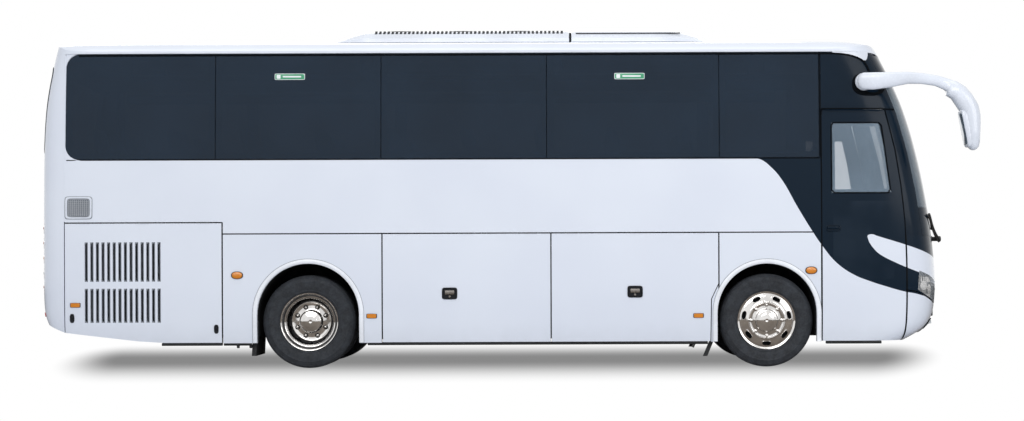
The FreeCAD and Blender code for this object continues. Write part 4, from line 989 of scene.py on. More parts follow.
pod = {
    "rear": -1.803, "front": 2.07, "seam": 0.649, "half": 0.715, "top": 3.548, "foot": 3.4,
    # the intake slots: rear and front one and number, then their shape on the shoulder
    "slots": (-1.4, 0.56, 46), "slotRise": 0.66, "slotHalf": 0.012, "slotTall": 0.031,
    "slotOuter": 0.632, "slotInner": 0.572, "slotThick": (0.0035, 0.005),
    # half the section: way in from the edge and share of the height
    "section": [(0, 0), (0.012, 0.3), (0.07, 0.62), (0.15, 0.86), (0.26, 0.96), (0.4, 1)],
    # along the coach: share of the height at distances from an end
    "nose": [(0, 0.1), (0.03, 0.34), (0.1, 0.56), (0.2, 0.8), (0.3, 0.93), (0.42, 1)],
    "blunt": [(0, 0.94), (0.01, 0.985), (0.03, 1)],
    "fans": [-1.15, -0.5, 0.1], "fanAside": 0.24,
    "fan": [(0.225, -0.004), (0.225, 0.0004), (0.2187, 0.0008), (0.2052, 0.0006)],
    # the groove of the front cover: its section, way forward of the seam and length
    "groove": [(0.652, 3.494), (0.6485, 3.503), (0.637, 3.501), (0.64, 3.491)],
    "grooveStart": 0.06, "grooveLength": 1.1,
    # the dark filling of the seam: half width, foot and top of its two blocks
    "seamBlocks": [(0.7, 3.39, 3.46), (0.42, 3.42, 3.53)], "seamHalf": 0.013,
}


def podCover(name, start, end, startShares, endShares):
    stations = [(start + d, share) for d, share in startShares]
    stations += [(x, 1) for x in spread(stations[-1][0] + 0.08, end - endShares[-1][0] - 0.08, 6)]
    stations += [(end - d, share) for d, share in reversed(endShares)]
    bm, rings = bmesh.new(), []
    for x, share in stations:
        rise = (pod["top"] - pod["foot"]) * share
        points = [(pod["half"] - inward, pod["foot"] + rise * up) for inward, up in pod["section"]]
        rings.append([(x, -y, z) for y, z in points] + [(x, y, z) for y, z in reversed(points)])
    lofted(bm, rings)
    part = finished(name, bm, partWhite, angle=24)
    edge = part.modifiers.new("edge", "BEVEL")
    edge.width = 0.008
    edge.segments = 2
    edge.limit_method = "ANGLE"
    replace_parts(part, "roof_ac_unit")


podCover("roof_unit_rear", pod["rear"], pod["seam"] - 0.012, pod["nose"], pod["blunt"])
podCover("roof_unit_front", pod["seam"] + 0.012, pod["front"], pod["blunt"], pod["nose"])
bm = bmesh.new()
for x in pod["fans"]:
    for side, word in bothSides:
        boss(bm, (x, side * pod["fanAside"], pod["top"]), (0, 0, 1), pod["fan"], 40)
finished("roof_unit_fans", bm, satinBlack)
bm = bmesh.new()
foot = pod["foot"] + (pod["top"] - pod["foot"]) * pod["slotRise"]
for side, word in bothSides:
    # intake slots along the shoulder
    for x in spread(*pod["slots"]):
        rear, (aside, up) = x - pod["slotHalf"], pod["slotThick"]
        low = Vector((rear, side * pod["slotOuter"], foot))
        tip = Vector((rear, side * pod["slotInner"], foot + pod["slotTall"]))
        out = Vector((0, side * aside, up))
        ring = [low - out, low + out, tip + out, tip - out]
        lofted(bm, [ring, [p + Vector((2 * pod["slotHalf"], 0, 0)) for p in ring]])
    ring = [Vector((pod["seam"] + pod["grooveStart"], side * y, z)) for y, z in pod["groove"]]
    lofted(bm, [ring, [p + Vector((pod["grooveLength"], 0, 0)) for p in ring]])
for half, low, high in pod["seamBlocks"]:
    block(bm, (pod["seam"] - pod["seamHalf"], -half, low),
          (pod["seam"] + pod["seamHalf"], half, high), 0.004)
finished("roof_unit_slots", bm, satinBlack)

hatch = {
    "places": [-3.35, 2.85], "outline": (0.72, 0.68, 40, 9),
    # growth, foot and top over the roof
    "lids": (0.97, 0.004, 0.032), "frames": (1.06, -0.012, 0.016),
}
for part, finish, angle in (("lids", partWhite, 40), ("frames", trimRubber, 32)):
    bm = bmesh.new()
    grown, low, high = hatch[part]
    for x in hatch["places"]:
        roof = shell.ray_cast(Vector((x, 0, 5)), Vector((0, 0, -1)))[0].z
        levels = [(1, low), (1, high - 0.01), (0.985, high - 0.003), (0.95, high)]
        lofted(bm, [[(x + u * grown * scale, v * grown * scale, roof + up)
                     for u, v in oval(*hatch["outline"])] for scale, up in levels])
    finished("roof_hatch_" + part, bm, finish, angle=angle)
print("roof done")


# doors: seals, handles, rails

door = {
    "rear": 3.216, "low": 0.275, "top": 2.643, "topFront": 3.98,
    # the seam before each door, from its top down
    "frontSeam": [(3.877, 2.638), (3.902, 2.538), (3.928, 2.432), (3.954, 2.325), (3.978, 2.225),
                  (3.999, 2.09), (4.017, 1.975), (4.034, 1.867), (4.048, 1.74), (4.06, 1.62),
                  (4.071, 1.502), (4.075, 1.425), (4.078, 1.354), (4.083, 1.23), (4.087, 1.115),
                  (4.089, 1.002), (4.089, 0.88), (4.089, 0.765), (4.089, 0.65), (4.086, 0.56),
                  (4.082, 0.47), (4.078, 0.38), (4.07, 0.33), (4.062, 0.29)],
    # seals: width, height over the skin and depth under it
    "rearSeal": (0.013, 0.0008, 0.01), "topSeal": (0.014, 0.001, 0.008),
    "frontSeal": (0.0092, 0.0004, 0.01), "glassSeal": (0.014, 0.004, 0.004),
    # how far the front edge of the glass leans back at its top
    "slant": 0.125,
    "handle": (3.335, 1.42), "handleOutline": (0.15, 0.066, 28, 5),
    "handlePlate": [(1, -0.004), (1, 0.004), (0.92, 0.006), (0.84, 0.002)],
    "key": [(0.01, 0), (0.01, 0.006), (0.007, 0.008)],
}
for side, word in bothSides:
    face, name = (1, side), "driver_door" if side < 0 else "passenger_door"
    bm = bmesh.new()
    strip(bm, face, upright(door["rear"], door["low"], door["top"], 40), *door["rearSeal"])
    strip(bm, face, level(door["rear"], door["topFront"], door["top"] + 0.002, 16),
          *door["topSeal"])
    strip(bm, face, door["frontSeam"], *door["frontSeal"])
    finished("door_gap_seal_" + word, bm, sealBlack)
    low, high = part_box(name + "_glass")
    x0, x1, z0, z1, slant = low[0], high[0], low[2], high[2], door["slant"]
    loop = [(x0, z0 + 0.03), (x0, z1 - 0.03), (x0 + 0.02, z1), (x1 - slant, z1),
            (x1 - slant + 0.03, z1 - 0.03), (x1 - 0.01, z0 + 0.04), (x1 - 0.03, z0),
            (x0 + 0.03, z0), (x0, z0 + 0.03)]
    bm = bmesh.new()
    for start, end in zip(loop, loop[1:]):
        strip(bm, face, stepped(start, end, 2), *door["glassSeal"])
    finished("door_window_seal_" + word, bm, sealBlack, name)
    bm = bmesh.new()
    x, z = door["handle"]
    patch(bm, face, oval(*door["handleOutline"]), x, z, door["handlePlate"])
    skin = reach(face, x, z)
    block(bm, onFace(face, x - 0.06, skin + 0.004, z - 0.006),
          onFace(face, x + 0.045, skin + 0.016, z + 0.018), 0.005, 3)
    boss(bm, onFace(face, x + 0.062, skin + 0.002, z), (0, side, 0), door["key"], 16)
    finished("door_handle_" + word, bm, glossBlack, name)

sill = {
    # rear and front end of each piece, and of the one that rides the engine flap
    "pieces": [(-2.915, -2.63), (-1.44, 2.05), (3.26, 3.83)], "flapPiece": (-3.55, -2.929),
    "inner": 1.165, "outer": 1.212, "foot": 0.238, "top": 0.268,
    # lower edge of the engine flap, with the height under and over it of the dark strip along it, a
    # painted shadow line
    "rearSkirt": [(-4.5, 0.392), (-4.32, 0.37), (-4.1, 0.34), (-3.85, 0.308), (-3.6, 0.285),
                  (-3.45, 0.274)],
    "shadowLineSpan": (-0.008, 0.01),
    # small bolts under the skirt
    "studs": [-2.769, -2.64],
    "stud": [(0.02, 0), (0.02, 0.012), (0.015, 0.016), (0.015, 0.034), (0.011, 0.038)],
}


def sillBlock(bm, side, rear, front):
    block(bm, (rear, side * sill["inner"], sill["foot"]),
          (front, side * sill["outer"], sill["top"]), 0.006)


for side, word in bothSides:
    bm = bmesh.new()
    for rear, front in sill["pieces"]:
        sillBlock(bm, side, rear, front)
    for x in sill["studs"]:
        boss(bm, (x, side * 1.188, 0.25), (0, 0, -1), sill["stud"], 16)
    finished("sill_strip_" + word, bm, trimRubber)
    bm = bmesh.new()
    sillBlock(bm, side, *sill["flapPiece"])
    y0, y1 = sorted((side * sill["inner"], side * sill["outer"]))
    under, over = sill["shadowLineSpan"]
    # a dark strip along the flap's slanted lower edge: painted shadow
    for (x0, z0), (x1, z1) in zip(sill["rearSkirt"], sill["rearSkirt"][1:]):
        ring = [(x0, y, z0 + up) for y, up in ((y0, under), (y1, under), (y1, over), (y0, over))]
        lofted(bm, [ring, [(x1, y, z + z1 - z0) for _, y, z in ring]])
    finished("flap_sill_and_shadow_line_" + word, bm, trimRubber, "engine_flap_" + word)
print("doors and sills done")


# wipers, with their blades

wiper = {
    # places on the screen: distance from the middle and height
    "pivot": (0.4, 1.32), "tip": (0.9, 1.57), "bladeLow": (0.48, 1.42), "bladeHigh": (1.0, 1.56),
    # how far the arm stands off the screen, from its pivot to its tip
    "lifts": (0.085, 0.062, 0.045, 0.033, 0.025, 0.02, 0.018, 0.018, 0.018),
    "armRadius": 0.014, "rodRadius": 0.009, "rodBelow": 0.03, "bladeOut": 0.008,
    "spindle": [(0.034, 0), (0.034, 0.022), (0.024, 0.03), (0.024, 0.088), (0.03, 0.092),
                (0.03, 0.114), (0.022, 0.12), (0.006, 0.122)],
    "blade": [(-0.007, 0), (0.002, -0.004), (0.008, -0.008), (0.012, 0), (0.008, 0.008),
              (0.002, 0.004)],
}


def screenLine(start, end, side, count, off):
    # points on the screen between two places
    line = []
    for t in spread(0, 1, count):
        y = side * (start[0] + (end[0] - start[0]) * t)
        z = start[1] + (end[1] - start[1]) * t
        line.append(Vector(onFace(nose, y, reach(nose, y, z) + off, z)))
    return line


for side, word in bothSides:
    bm = bmesh.new()
    line = screenLine(wiper["pivot"], wiper["tip"], side, len(wiper["lifts"]), 0)
    points = [point + Vector((lift, 0, 0)) for point, lift in zip(line, wiper["lifts"])]
    tube(bm, points, wiper["armRadius"])
    tube(bm, [point - Vector((0, 0, wiper["rodBelow"])) for point in points], wiper["rodRadius"])
    boss(bm, points[0] - Vector((0.1, 0, 0)), (1, 0, 0), wiper["spindle"])
    blade = screenLine(wiper["bladeLow"], wiper["bladeHigh"], side, 14, wiper["bladeOut"])
    lofted(bm, [[point + Vector((ahead, 0, up)) for ahead, up in wiper["blade"]]
                for point in blade])
    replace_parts(finished("wiper_" + word, bm, trimRubber), "wipers")
print("wipers done")


# seats

seat = {
    "pitch": 0.76, "first": -4.159, "rows": 9, "floor": 1.3, "width": 0.44, "driverWidth": 0.45,
    # distance from the coach's middle of the window and the aisle seat, and of their armrests
    "columns": [(0.922, 0.7), (0.468, 0.258)],
    # the base cushion: way forward, half width scale, underside and crown
    "base": [(0.03, 0.8, 0.345, 0.395), (0.045, 0.94, 0.33, 0.425), (0.12, 1, 0.325, 0.448),
             (0.27, 1, 0.325, 0.452), (0.4, 1, 0.325, 0.452), (0.47, 0.99, 0.332, 0.444),
             (0.498, 0.95, 0.345, 0.425), (0.506, 0.86, 0.362, 0.4)],
    # the backrest: height, middle of its thickness, half thickness, half width scale
    "back": [(0.4, 0.008, 0.034, 0.86), (0.425, 0.008, 0.052, 0.97), (0.52, 0, 0.062, 1),
             (0.65, -0.018, 0.058, 1), (0.78, -0.04, 0.052, 0.99), (0.9, -0.062, 0.05, 0.96),
             (0.96, -0.073, 0.048, 0.9), (1.02, -0.084, 0.054, 0.8), (1.09, -0.098, 0.056, 0.74),
             (1.14, -0.108, 0.05, 0.66), (1.165, -0.114, 0.036, 0.54),
             (1.176, -0.117, 0.016, 0.4)],
    # legs and shoes: half length, half width, foot, top and roundness
    "legsAhead": (0.035, 0.47),
    "leg": (0.016, 0.03, 0.004, 0.33, 0.005), "shoe": (0.03, 0.1, 0.001, 0.012, 0.003),
    # the pan: rear, front, share of the width each way, foot, top and roundness
    "pan": (0.02, 0.485, 0.46, 0.306, 0.33, 0.008),
    # the armrest: way forward and height
    "armrest": [(0.015, 0.56), (0.06, 0.6), (0.25, 0.606), (0.33, 0.598), (0.36, 0.575)],
}


def cushionRing(middle, half, rows, power):
    # one closed section in the plane of its two half axes
    return [middle + half * a + rows * b for a, b in oval(2, 2, 28, power)]


def addCushions(name, places, floor, width, node):
    # places are x, y and the armrest's y
    bm, pads = bmesh.new(), bmesh.new()
    for x, y, armY in places:
        # the legs and their feet, the pan, the armrest
        for ahead in seat["legsAhead"]:
            for along, half, foot, top, bevel in (seat["leg"], seat["shoe"]):
                block(bm, (x + ahead - along, y - half, floor + foot),
                      (x + ahead + along, y + half, floor + top), bevel)
        rear, front, share, foot, top, bevel = seat["pan"]
        block(bm, (x + rear, y - width * share, floor + foot),
              (x + front, y + width * share, floor + top), bevel)
        tube(bm, [(x + ahead, armY, floor + up) for ahead, up in seat["armrest"]], 0.016, 12)
        lofted(pads, [cushionRing(Vector((x + ahead, y, floor + (low + high) / 2)),
                                  Vector((0, width / 2 * scale, 0)),
                                  Vector((0, 0, (high - low) / 2)), 3.2)
                      for ahead, scale, low, high in seat["base"]])
        lofted(pads, [cushionRing(Vector((x + 0.02 + ahead, y, floor + up)),
                                  Vector((0, width / 2 * scale, 0)), Vector((half, 0, 0)), 3.0)
                      for up, ahead, half, scale in seat["back"]])
    finished(name + "_frames", bm, cabinDark, angle=40)
    cloth = finished(name + "_cushions", pads, seatCloth, angle=60)
    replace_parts(cloth, node)


for side, word in bothSides:
    places = [(seat["first"] + seat["pitch"] * row, side * middle, side * armY)
              for row in range(seat["rows"]) for middle, armY in seat["columns"]]
    addCushions("seats_" + word, places, seat["floor"], seat["width"], "passenger_seats_" + word)
low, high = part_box("driver_seat")
place = (low[0] + 0.17, (low[1] + high[1]) / 2, high[1] - 0.03)
addCushions("driver_seat", [place], low[2], seat["driverWidth"], "driver_seat")
print("seats done")


# wheel arches, mudflaps, louvres, body joints

arch = {
    "centres": [(2.655, 0.508), (-2.045, 0.522)], "height": 0.554, "foot": 0.267,
    # how far outside the opening the side's skin is felt
    "feel": 0.075,
    # across the lip: distance from the opening's edge, height over the side
    "lip": [(0, -0.02), (0, 0.006), (0.004, 0.0115), (0.014, 0.0145), (0.026, 0.0145),
            (0.036, 0.0115), (0.044, 0.0065), (0.048, 0.001), (0.048, -0.006)],
    # the grey bead round the lip's outer edge, a painted shadow line: distance and height as for
    # the lip
    "bead": [(0.0475, -0.006), (0.0475, 0.0022), (0.0505, 0.0022), (0.0505, -0.006)],
}


def archPath(x, radius):
    # points and outward ways round one wheel opening
    rise = spread(arch["foot"], arch["height"] - 0.03, 9)
    path = [((x - radius, z), (-1, 0)) for z in rise]
    for turn in spread(math.pi, 0, 49):
        c, s = math.cos(turn), math.sin(turn)
        path.append(((x + radius * c, arch["height"] + radius * s), (c, s)))
    return path + [((x + radius, z), (1, 0)) for z in reversed(rise)]


def archPiece(name, face, section, finish, angle=32):
    bm = bmesh.new()
    for x, radius in arch["centres"]:
        rings = []
        for (px, pz), (ox, oz) in archPath(x, radius):
            skin = reach(face, px + ox * arch["feel"], pz + oz * arch["feel"])
            rings.append([onFace(face, px + ox * away, skin + out, pz + oz * away)
                          for away, out in section])
        lofted(bm, rings)
    return finished(name, bm, finish, angle=angle)


for side, word in bothSides:
    lips = archPiece("arch_lips_" + word, (1, side), arch["lip"], litArchWhite, 50)
    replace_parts(lips, "wheel_arch_trims")
    # a grey bead round each lip: painted shadow along its outer edge
    archPiece("arch_shadow_beads_" + word, (1, side), arch["bead"], seamAndShadeGrey)

flap = {
    # x and z down each flap, then the inner and outer y
    "flaps": [([(2.136, 0.44), (2.136, 0.33), (2.09, 0.22), (2.046, 0.114)], 0.9, 1.166),
              ([(-2.578, 0.44), (-2.578, 0.33), (-2.583, 0.23), (-2.588, 0.13)], 0.59, 1.166)],
    "thick": 0.01, "fold": 0.046,
    "bolt": [(0.014, 0), (0.014, 0.002), (0.009, 0.002), (0.009, 0.008), (0.004, 0.01)],
}
bm, heads = bmesh.new(), bmesh.new()
for side, word in bothSides:
    for path, inner, outer in flap["flaps"]:
        t, rings = flap["thick"], []
        for x, z in path:
            fold = x - flap["fold"]
            corners = [(x, inner), (x, outer), (fold, outer), (fold, outer - t),
                       (x - 2.2 * t, outer - t), (x - t, outer - 2.2 * t), (x - t, inner)]
            rings.append([(px, side * py, z) for px, py in corners])
        lofted(bm, rings)
        x, z = path[0]
        for y in spread(inner + 0.04, outer - 0.05, 3):
            boss(heads, (x - t, side * y, z - 0.03), (-1, 0, 0), flap["bolt"], 12)
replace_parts(finished("mudflap_sheets", bm, trimRubber), "mudflaps")
finished("mudflap_bolts", heads, steel)

louvre = {
    "start": -4.33, "pitch": 0.0573, "width": 0.033, "count": 14,
    "rows": [(0.898, 1.302), (0.478, 0.827)], "slant": 0.03,
    # where the side's skin is felt, ahead of a slot
    "feel": 0.012,
    # the hood inside each slot: distance from its front edge, depth
    "hood": [(0, -0.001), (-0.006, -0.004), (-0.012, -0.012), (-0.016, -0.024),
             (-0.0145, -0.025), (-0.0105, -0.013), (-0.005, -0.006), (0, -0.004)],
    # the screen behind: its foot and top, its inner, middle and outer y, its bars
    "screen": (0.462, 1.32), "screenOut": (1.15, 1.158, 1.164), "bars": (0.5, 1.28, 27),
}
for side, word in bothSides:
    bm, face = bmesh.new(), (1, side)
    for low, high in louvre["rows"]:
        for number in range(louvre["count"]):
            rear = louvre["start"] + louvre["pitch"] * number
            front = rear + louvre["width"]
            rings = []
            for z in spread(low, high, 8):
                skin = reach(face, front + louvre["feel"], z)
                rings.append([onFace(face, front + along, skin + depth, z)
                              for along, depth in louvre["hood"]])
            lofted(bm, rings)
            for end, way in ((low, 1), (high, -1)):
                corner = [(rear, end), (front - 0.004, end), (rear, end + way * louvre["slant"])]
                skin = reach(face, front + louvre["feel"], end + way * 0.02)
                lofted(bm, [[onFace(face, x, skin + depth, z) for x, z in corner]
                            for depth in (-0.0005, -0.004)])
    # grey on the hoods, which are body-white sheet: painted shade inside the slots
    finished("louvre_hoods_" + word, bm, seamAndShadeGrey, "engine_flap_" + word, "body_paint", 50)
    bm = bmesh.new()
    x0 = louvre["start"] - 0.03
    x1 = louvre["start"] + louvre["pitch"] * louvre["count"] + 0.02
    (foot, top), (inner, middle, outer) = louvre["screen"], louvre["screenOut"]
    block(bm, (x0, side * inner, foot), (x1, side * middle, top), 0.003)
    for z in spread(*louvre["bars"]):
        block(bm, (x0 + 0.01, side * middle, z - 0.003), (x1 - 0.01, side * outer, z + 0.003),
              0.001, 1)
    finished("louvre_screen_" + word, bm, archBlack, "engine_flap_" + word)

# the rear corner panel meets the side without a gap above the flap: x, foot and top
joint = (-4.539, 1.512, 3.226)
for side, word in bothSides:
    bm = bmesh.new()
    strip(bm, (1, side), upright(*joint, 60), 0.0096, -0.0004, 0.014)
    finished("joint_filler_" + word, bm, coachWhite)
print("arches and flaps done")


# lamps and plates at both ends

lamp = {
    "heart": (4.08, 0.76),          # x and y inside the corner, aimed from
    "back": 0.06, "low": 0.69, "high": 0.93,
    # turn in degrees, height and radius of each bowl, and one bowl's profile
    "bowls": [(8, 0.8, 0.05), (30, 0.792, 0.052), (58, 0.83, 0.047)],
    "bowl": [(1, 0.004), (0.98, 0), (0.86, -0.012), (0.62, -0.028), (0.34, -0.038),
             (0.3, -0.036), (0.28, -0.014), (0.2, -0.006), (0.02, -0.003)],
    # fine ribs over and under the bowls: height and half height
    "ribs": [(0.893, 0.026), (0.722, 0.02)],
}


def cornerPoint(turn, z, side, depth):
    # a place behind the skin of the front corner, and the way outward there
    x, y = lamp["heart"]
    turn = math.radians(turn)
    way = Vector((math.cos(turn), side * math.sin(turn), 0))
    hit = shell.ray_cast(Vector((x, side * y, z)) + way * 1.5, -way)[0]
    return hit - way * depth, way


for side, word in bothSides:
    bm, rings = bmesh.new(), []
    for z in spread(lamp["low"], lamp["high"], 9):
        front, rear = ([cornerPoint(turn, z, side, lamp["back"] + deeper)[0]
                        for turn in spread(-4, 82, 20)] for deeper in (0, 0.004))
        rings.append(front + rear[::-1])
    lofted(bm, rings)
    finished("headlamp_back_" + word, bm, steel)
    bm = bmesh.new()
    for turn, z, radius in lamp["bowls"]:
        where, way = cornerPoint(turn, z, side, lamp["back"] - 0.014)
        boss(bm, where, way, [(r * radius, h) for r, h in lamp["bowl"]], 32)
    finished("headlamp_bowls_" + word, bm, chrome, angle=50)
    bm = bmesh.new()
    for turn in spread(2, 76, 12):
        for z, tall in lamp["ribs"]:
            where, way = cornerPoint(turn, z, side, lamp["back"] - 0.01)
            across = Vector((-way.y, way.x, 0)) * 0.009
            ring = [where + across, where + way * 0.008, where - across, where - way * 0.01]
            lofted(bm, [[p + Vector((0, 0, up)) for p in ring] for up in (-tall, tall)])
    finished("headlamp_ribs_" + word, bm, chrome)

rearLamp = {
    "aside": 1.005,
    # height of the middle, width, height and lens of each part of the cluster
    "parts": [(1.455, 0.112, 0.112, redLens), (1.3, 0.112, 0.112, redLens),
              (1.145, 0.112, 0.112, amberLens), (0.99, 0.112, 0.112, brightLens),
              (0.845, 0.116, 0.08, redLens)],
    "rim": [(1, -0.003), (1, 0.001), (0.97, 0.002), (0.93, 0.002), (0.91, 0.0005)],
    "lens": [(0.99, -0.001), (0.97, 0.001), (0.85, 0.002), (0.6, 0.0028), (0.3, 0.0032),
             (0.02, 0.0034)],
    # across, height, outline and levels of the other lamps
    "high": (0, 3.165, (0.42, 0.034, 40, 9), [(1, -0.002), (1, 0.006), (0.97, 0.011),
                                              (0.9, 0.013)]),
    "low": (1.02, 0.56, (0.11, 0.045, 28, 7), [(1, -0.002), (1, 0.004), (0.95, 0.007),
                                               (0.85, 0.008)]),
}
for side, word in bothSides:
    rims = bmesh.new()
    for number, (z, wide, tall, finish) in enumerate(rearLamp["parts"]):
        power, y = 2 if wide == tall else 6, side * rearLamp["aside"]
        patch(rims, tail, oval(wide + 0.014, tall + 0.014, 36, power), y, z, rearLamp["rim"])
        bm = bmesh.new()
        patch(bm, tail, oval(wide, tall, 36, power), y, z, rearLamp["lens"])
        finished(f"tail_lamp_{word}_{number}", bm, finish, slotName="lamp_red", angle=50)
    finished("tail_lamp_rims_" + word, rims, chrome)

plate = {
    # the face, the height, what it rides and the paint
    "front": (nose, 0.56, "root", plateWhite), "rear": (tail, 1.01, "engine_hatch", plateYellow),
    "holder": (0.27, 0.064), "sheet": (0.26, 0.0555), "bolts": (-0.205, 0.205),
    "bolt": [(0.008, 0), (0.008, 0.001), (0.005, 0.0025), (0.0005, 0.003)],
}
for end in ("front", "rear"):
    face, z, body, finish = plate[end]
    way, skin = face[1], reach(face, 0, z) + 0.012
    bm, sheet = bmesh.new(), bmesh.new()
    for part, made, out, bevel, segments in (("holder", bm, (-0.018, 0), 0.006, 3),
                                             ("sheet", sheet, (-0.002, 0.003), 0.0015, 2)):
        half, tall = plate[part]
        block(made, onFace(face, -half, skin + out[0], z - tall),
              onFace(face, half, skin + out[1], z + tall), bevel, segments)
    for y in plate["bolts"]:
        boss(bm, onFace(face, y, skin + 0.003, z), (way, 0, 0), plate["bolt"], 14)
    finished("plate_holder_" + end, bm, satinBlack, body)
    finished("blank_plate_" + end, sheet, finish, body)

noseTrim = {
    "grille": (0, 0.4, (1.06, 0.15, 60, 9), [(1, -0.004), (1, 0.003), (0.985, 0.005),
                                             (0.965, 0.005), (0.955, 0.0005)]),
    # the bars: foot, top and number, and half their length
    "bars": (0.35, 0.45, 6), "barHalf": 0.5,
    "lineHeight": 0.79, "lineHalf": 0.6,
    "fogLamp": (0.78, 0.43),
    "fogRim": (0.116, [(1, -0.003), (1, 0.004), (0.9, 0.007), (0.84, 0.002)]),
    "fogLens": (0.096, [(1, 0), (0.96, 0.005), (0.7, 0.009), (0.3, 0.0105), (0.02, 0.011)]),
}
bm = bmesh.new()
y, z, outline, levels = noseTrim["grille"]
patch(bm, nose, oval(*outline), y, z, levels)
for z in spread(*noseTrim["bars"]):
    strip(bm, nose, level(-noseTrim["barHalf"], noseTrim["barHalf"], z, 30), 0.009, 0.004)
half = noseTrim["lineHalf"]
strip(bm, nose, level(-half, half, noseTrim["lineHeight"], 30), 0.026, 0.002)
finished("nose_grille", bm, satinBlack)
for name, part, finish, slotName, angle in (
        ("fog_lamp_rims", "fogRim", satinBlack, "rubber", 32),
        ("fog_lamps", "fogLens", brightLens, "lamp_clear", 50)):
    bm, (y, z), (wide, levels) = bmesh.new(), noseTrim["fogLamp"], noseTrim[part]
    for side, word in bothSides:
        patch(bm, nose, oval(wide, wide, 32), side * y, z, levels)
    finished(name, bm, finish, slotName=slotName, angle=angle)

# the destination box behind the screen, its face blank
sign = {"low": (3.52, -0.7, 2.905), "high": (3.7, 0.7, 3.115), "margin": (0.05, 0.03)}
case, blank = bmesh.new(), bmesh.new()
low, high = Vector(sign["low"]), Vector(sign["high"])
across, up = sign["margin"]
block(case, low, high, 0.015, 3)
block(blank, (high.x - 0.002, low.y + across, low.z + up),
      (high.x + 0.004, high.y - across, high.z - up), 0.003)
finished("sign_case", case, cabinDark)
finished("sign_face", blank, glossBlack, slotName="interior_trim")

tailTrim = {
    # the louvres: foot, top and number, and half their length
    "louvres": (1.3, 1.56, 9), "louvreHalf": 0.62,
    "handle": 0.8, "handleOutline": (0.18, 0.07, 32, 5),
    "handlePlate": [(1, -0.003), (1, 0.005), (0.9, 0.008), (0.82, 0.002)],
    "windowCorner": 0.1, "sealInside": 0.004,
}
bm = bmesh.new()
for z in spread(*tailTrim["louvres"]):
    strip(bm, tail, level(-tailTrim["louvreHalf"], tailTrim["louvreHalf"], z, 34), 0.012, 0.005)
finished("hatch_louvres", bm, satinBlack, "engine_hatch")
bm, z = bmesh.new(), tailTrim["handle"]
patch(bm, tail, oval(*tailTrim["handleOutline"]), 0, z, tailTrim["handlePlate"])
skin = reach(tail, 0, z)
block(bm, onFace(tail, -0.065, skin + 0.013, z + 0.006),
      onFace(tail, 0.065, skin + 0.003, z + 0.024), 0.004, 3)
finished("hatch_handle", bm, satinBlack, "engine_hatch")
low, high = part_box("rear_window")
corner, loop = tailTrim["windowCorner"], []
half, top, foot = high[1] - corner, high[2] - corner, low[2] + corner
for y, z, first in ((half, top, 0), (-half, top, 90), (-half, foot, 180), (half, foot, 270)):
    for turn in spread(first, first + 90, 8):
        turn, radius = math.radians(turn), corner - tailTrim["sealInside"]
        loop.append((y + radius * math.cos(turn), z + radius * math.sin(turn)))
dense = [point for start, end in zip(loop, loop[1:] + loop[:1])
         for point in stepped(start, end, 1)[:-1]]
bm = bmesh.new()
strip(bm, tail, dense + dense[:1], 0.016, 0.003)
finished("rear_window_seal", bm, trimRubber)
bm = bmesh.new()
for part, ways in (("high", (0,)), ("low", (-1, 1))):
    y, z, outline, levels = rearLamp[part]
    for way in ways:
        patch(bm, tail, oval(*outline), way * y, z, levels)
finished("high_brake_lamp", bm, redLens)
print("ends done")


# camera and light

photo = {
    "width": 1024, "height": 421,
    "centre": (567, 268),           # where the camera looks straight on, in the photo
    "perPixel": 0.01023,            # metres a pixel, at the near side
    "sidePlane": -1.25, "distance": 19.5,
    "x": 0.607, "z": 1.023, "roll": -0.2,
}
data = bpy.data.cameras.new("camera")
camera = bpy.data.objects.new("camera", data)
bpy.context.collection.objects.link(camera)
data.sensor_width = 36.0
data.lens = photo["distance"] / (photo["perPixel"] * photo["width"]) * data.sensor_width
data.shift_x = (photo["width"] / 2 - photo["centre"][0]) / photo["width"]
data.shift_y = (photo["centre"][1] - photo["height"] / 2) / photo["width"]
data.clip_end = 200.0
camera.location = (photo["x"], photo["sidePlane"] - photo["distance"], photo["z"])
camera.matrix_world = (Matrix.Translation(camera.location)
                       @ Matrix.Rotation(math.radians(90), 4, "X")
                       @ Matrix.Rotation(math.radians(photo["roll"]), 4, "Z"))
bpy.context.scene.camera = camera
bpy.context.scene.view_settings.view_transform = "Standard"

shadow = {
    # the coach's middle on the floor, half its length, and how the shade narrows ahead
    "x": -0.15, "y": 0.7, "half": 4.25, "narrowing": 0.2, "endSharpness": 6,
    # where the shade begins to fade and ends, and its strength
    "fade": (0.4, 4.6, 0.75, 0.0), "dark": (rgb(18, 18, 20), rgb(24, 24, 26)),
    # what the floor gives back: to mirrors and to everything else
    "mirrored": rgb(134, 126, 118), "bounced": rgb(238, 240, 244),
}
bm = bmesh.new()
bmesh.ops.create_grid(bm, x_segments=1, y_segments=1, size=60)
mesh = bpy.data.meshes.new("floor")
bm.to_mesh(mesh)
bm.free()
floor = bpy.data.objects.new("floor", mesh)
bpy.context.collection.objects.link(floor)
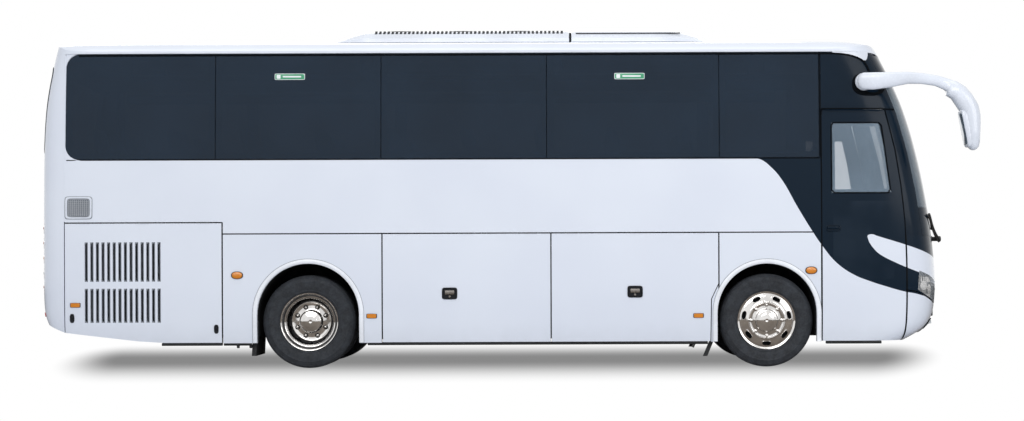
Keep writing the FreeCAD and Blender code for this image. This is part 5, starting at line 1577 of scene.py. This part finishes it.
# a soft shade round the coach and nothing farther out, as in a cut-out picture
finish = Finish("floor_shade", roughness=0.9, specularIorLevel=0.0)
x, y, z = finish.place()
seen, glossy = finish.node("LightPath"), finish.node("LightPath", output=3)
ends = abs(x - shadow["x"]) - shadow["half"] - (y - shadow["y"]) * shadow["narrowing"]
aside = finish.sum("MAXIMUM", ends, 0.0) * shadow["endSharpness"]
ahead = abs(y - shadow["y"])
away = finish.sum("SQRT", aside * aside + ahead * ahead)
bounce = finish.mix(glossy, shadow["bounced"], shadow["mirrored"])
shade = finish.mix(finish.cloud(3.0), *shadow["dark"])
finish.set("baseColor", finish.mix(seen, bounce, shade))
finish.set("alpha", finish.sum("MAXIMUM", finish.ramp(away, *shadow["fade"]), 1 - seen))
mesh.materials.append(finish.material)

# white behind the coach and in its glass, greyer where it lights
studio = {"colour": rgb(228, 229, 230), "strength": 0.62}
world = bpy.data.worlds.new("studio")
world.use_nodes = True
tree = world.node_tree
ground = tree.nodes["Background"]
ground.inputs[0].default_value = studio["colour"]
ground.inputs[1].default_value = studio["strength"]
white = tree.nodes.new("ShaderNodeBackground")
white.inputs[0].default_value = (1, 1, 1, 1)
ray = tree.nodes.new("ShaderNodeLightPath")
whiteFor = ray.outputs["Is Camera Ray"]
for kind in ("Is Glossy Ray", "Is Transmission Ray"):
    either = tree.nodes.new("ShaderNodeMath")
    either.operation = "MAXIMUM"
    tree.links.new(whiteFor, either.inputs[0])
    tree.links.new(ray.outputs[kind], either.inputs[1])
    whiteFor = either.outputs[0]
pick = tree.nodes.new("ShaderNodeMixShader")
for socket, source in enumerate((whiteFor, ground.outputs[0], white.outputs[0])):
    tree.links.new(source, pick.inputs[socket])
tree.links.new(pick.outputs[0], tree.nodes["World Output"].inputs[0])
bpy.context.scene.world = world

warm, plain = (1.0, 0.985, 0.97), (1, 1, 1)
lights = {
    # place, aim, width and height, watts, colour
    "key": ((-3, -14, 11), (0, 0, 1.6), (14, 6), 960, warm),
    "fill": ((9, -9, 5), (1, 0, 1.5), (6, 5), 260, warm),
    "top": ((0, -2, 13), (0, 0, 3), (14, 8), 480, plain),
    "far": ((-2, 14, 8), (0, 0, 1.6), (14, 6), 520, plain),
}
for name, (where, target, extent, power, colour) in lights.items():
    data = bpy.data.lights.new(name, "AREA")
    data.shape = "RECTANGLE"
    data.size, data.size_y = extent
    data.energy = power
    data.color = colour
    light = bpy.data.objects.new(name, data)
    bpy.context.collection.objects.link(light)
    light.location = where
    light.rotation_euler = (Vector(target) - Vector(where)).to_track_quat("-Z", "Y").to_euler()
print("camera and light done")
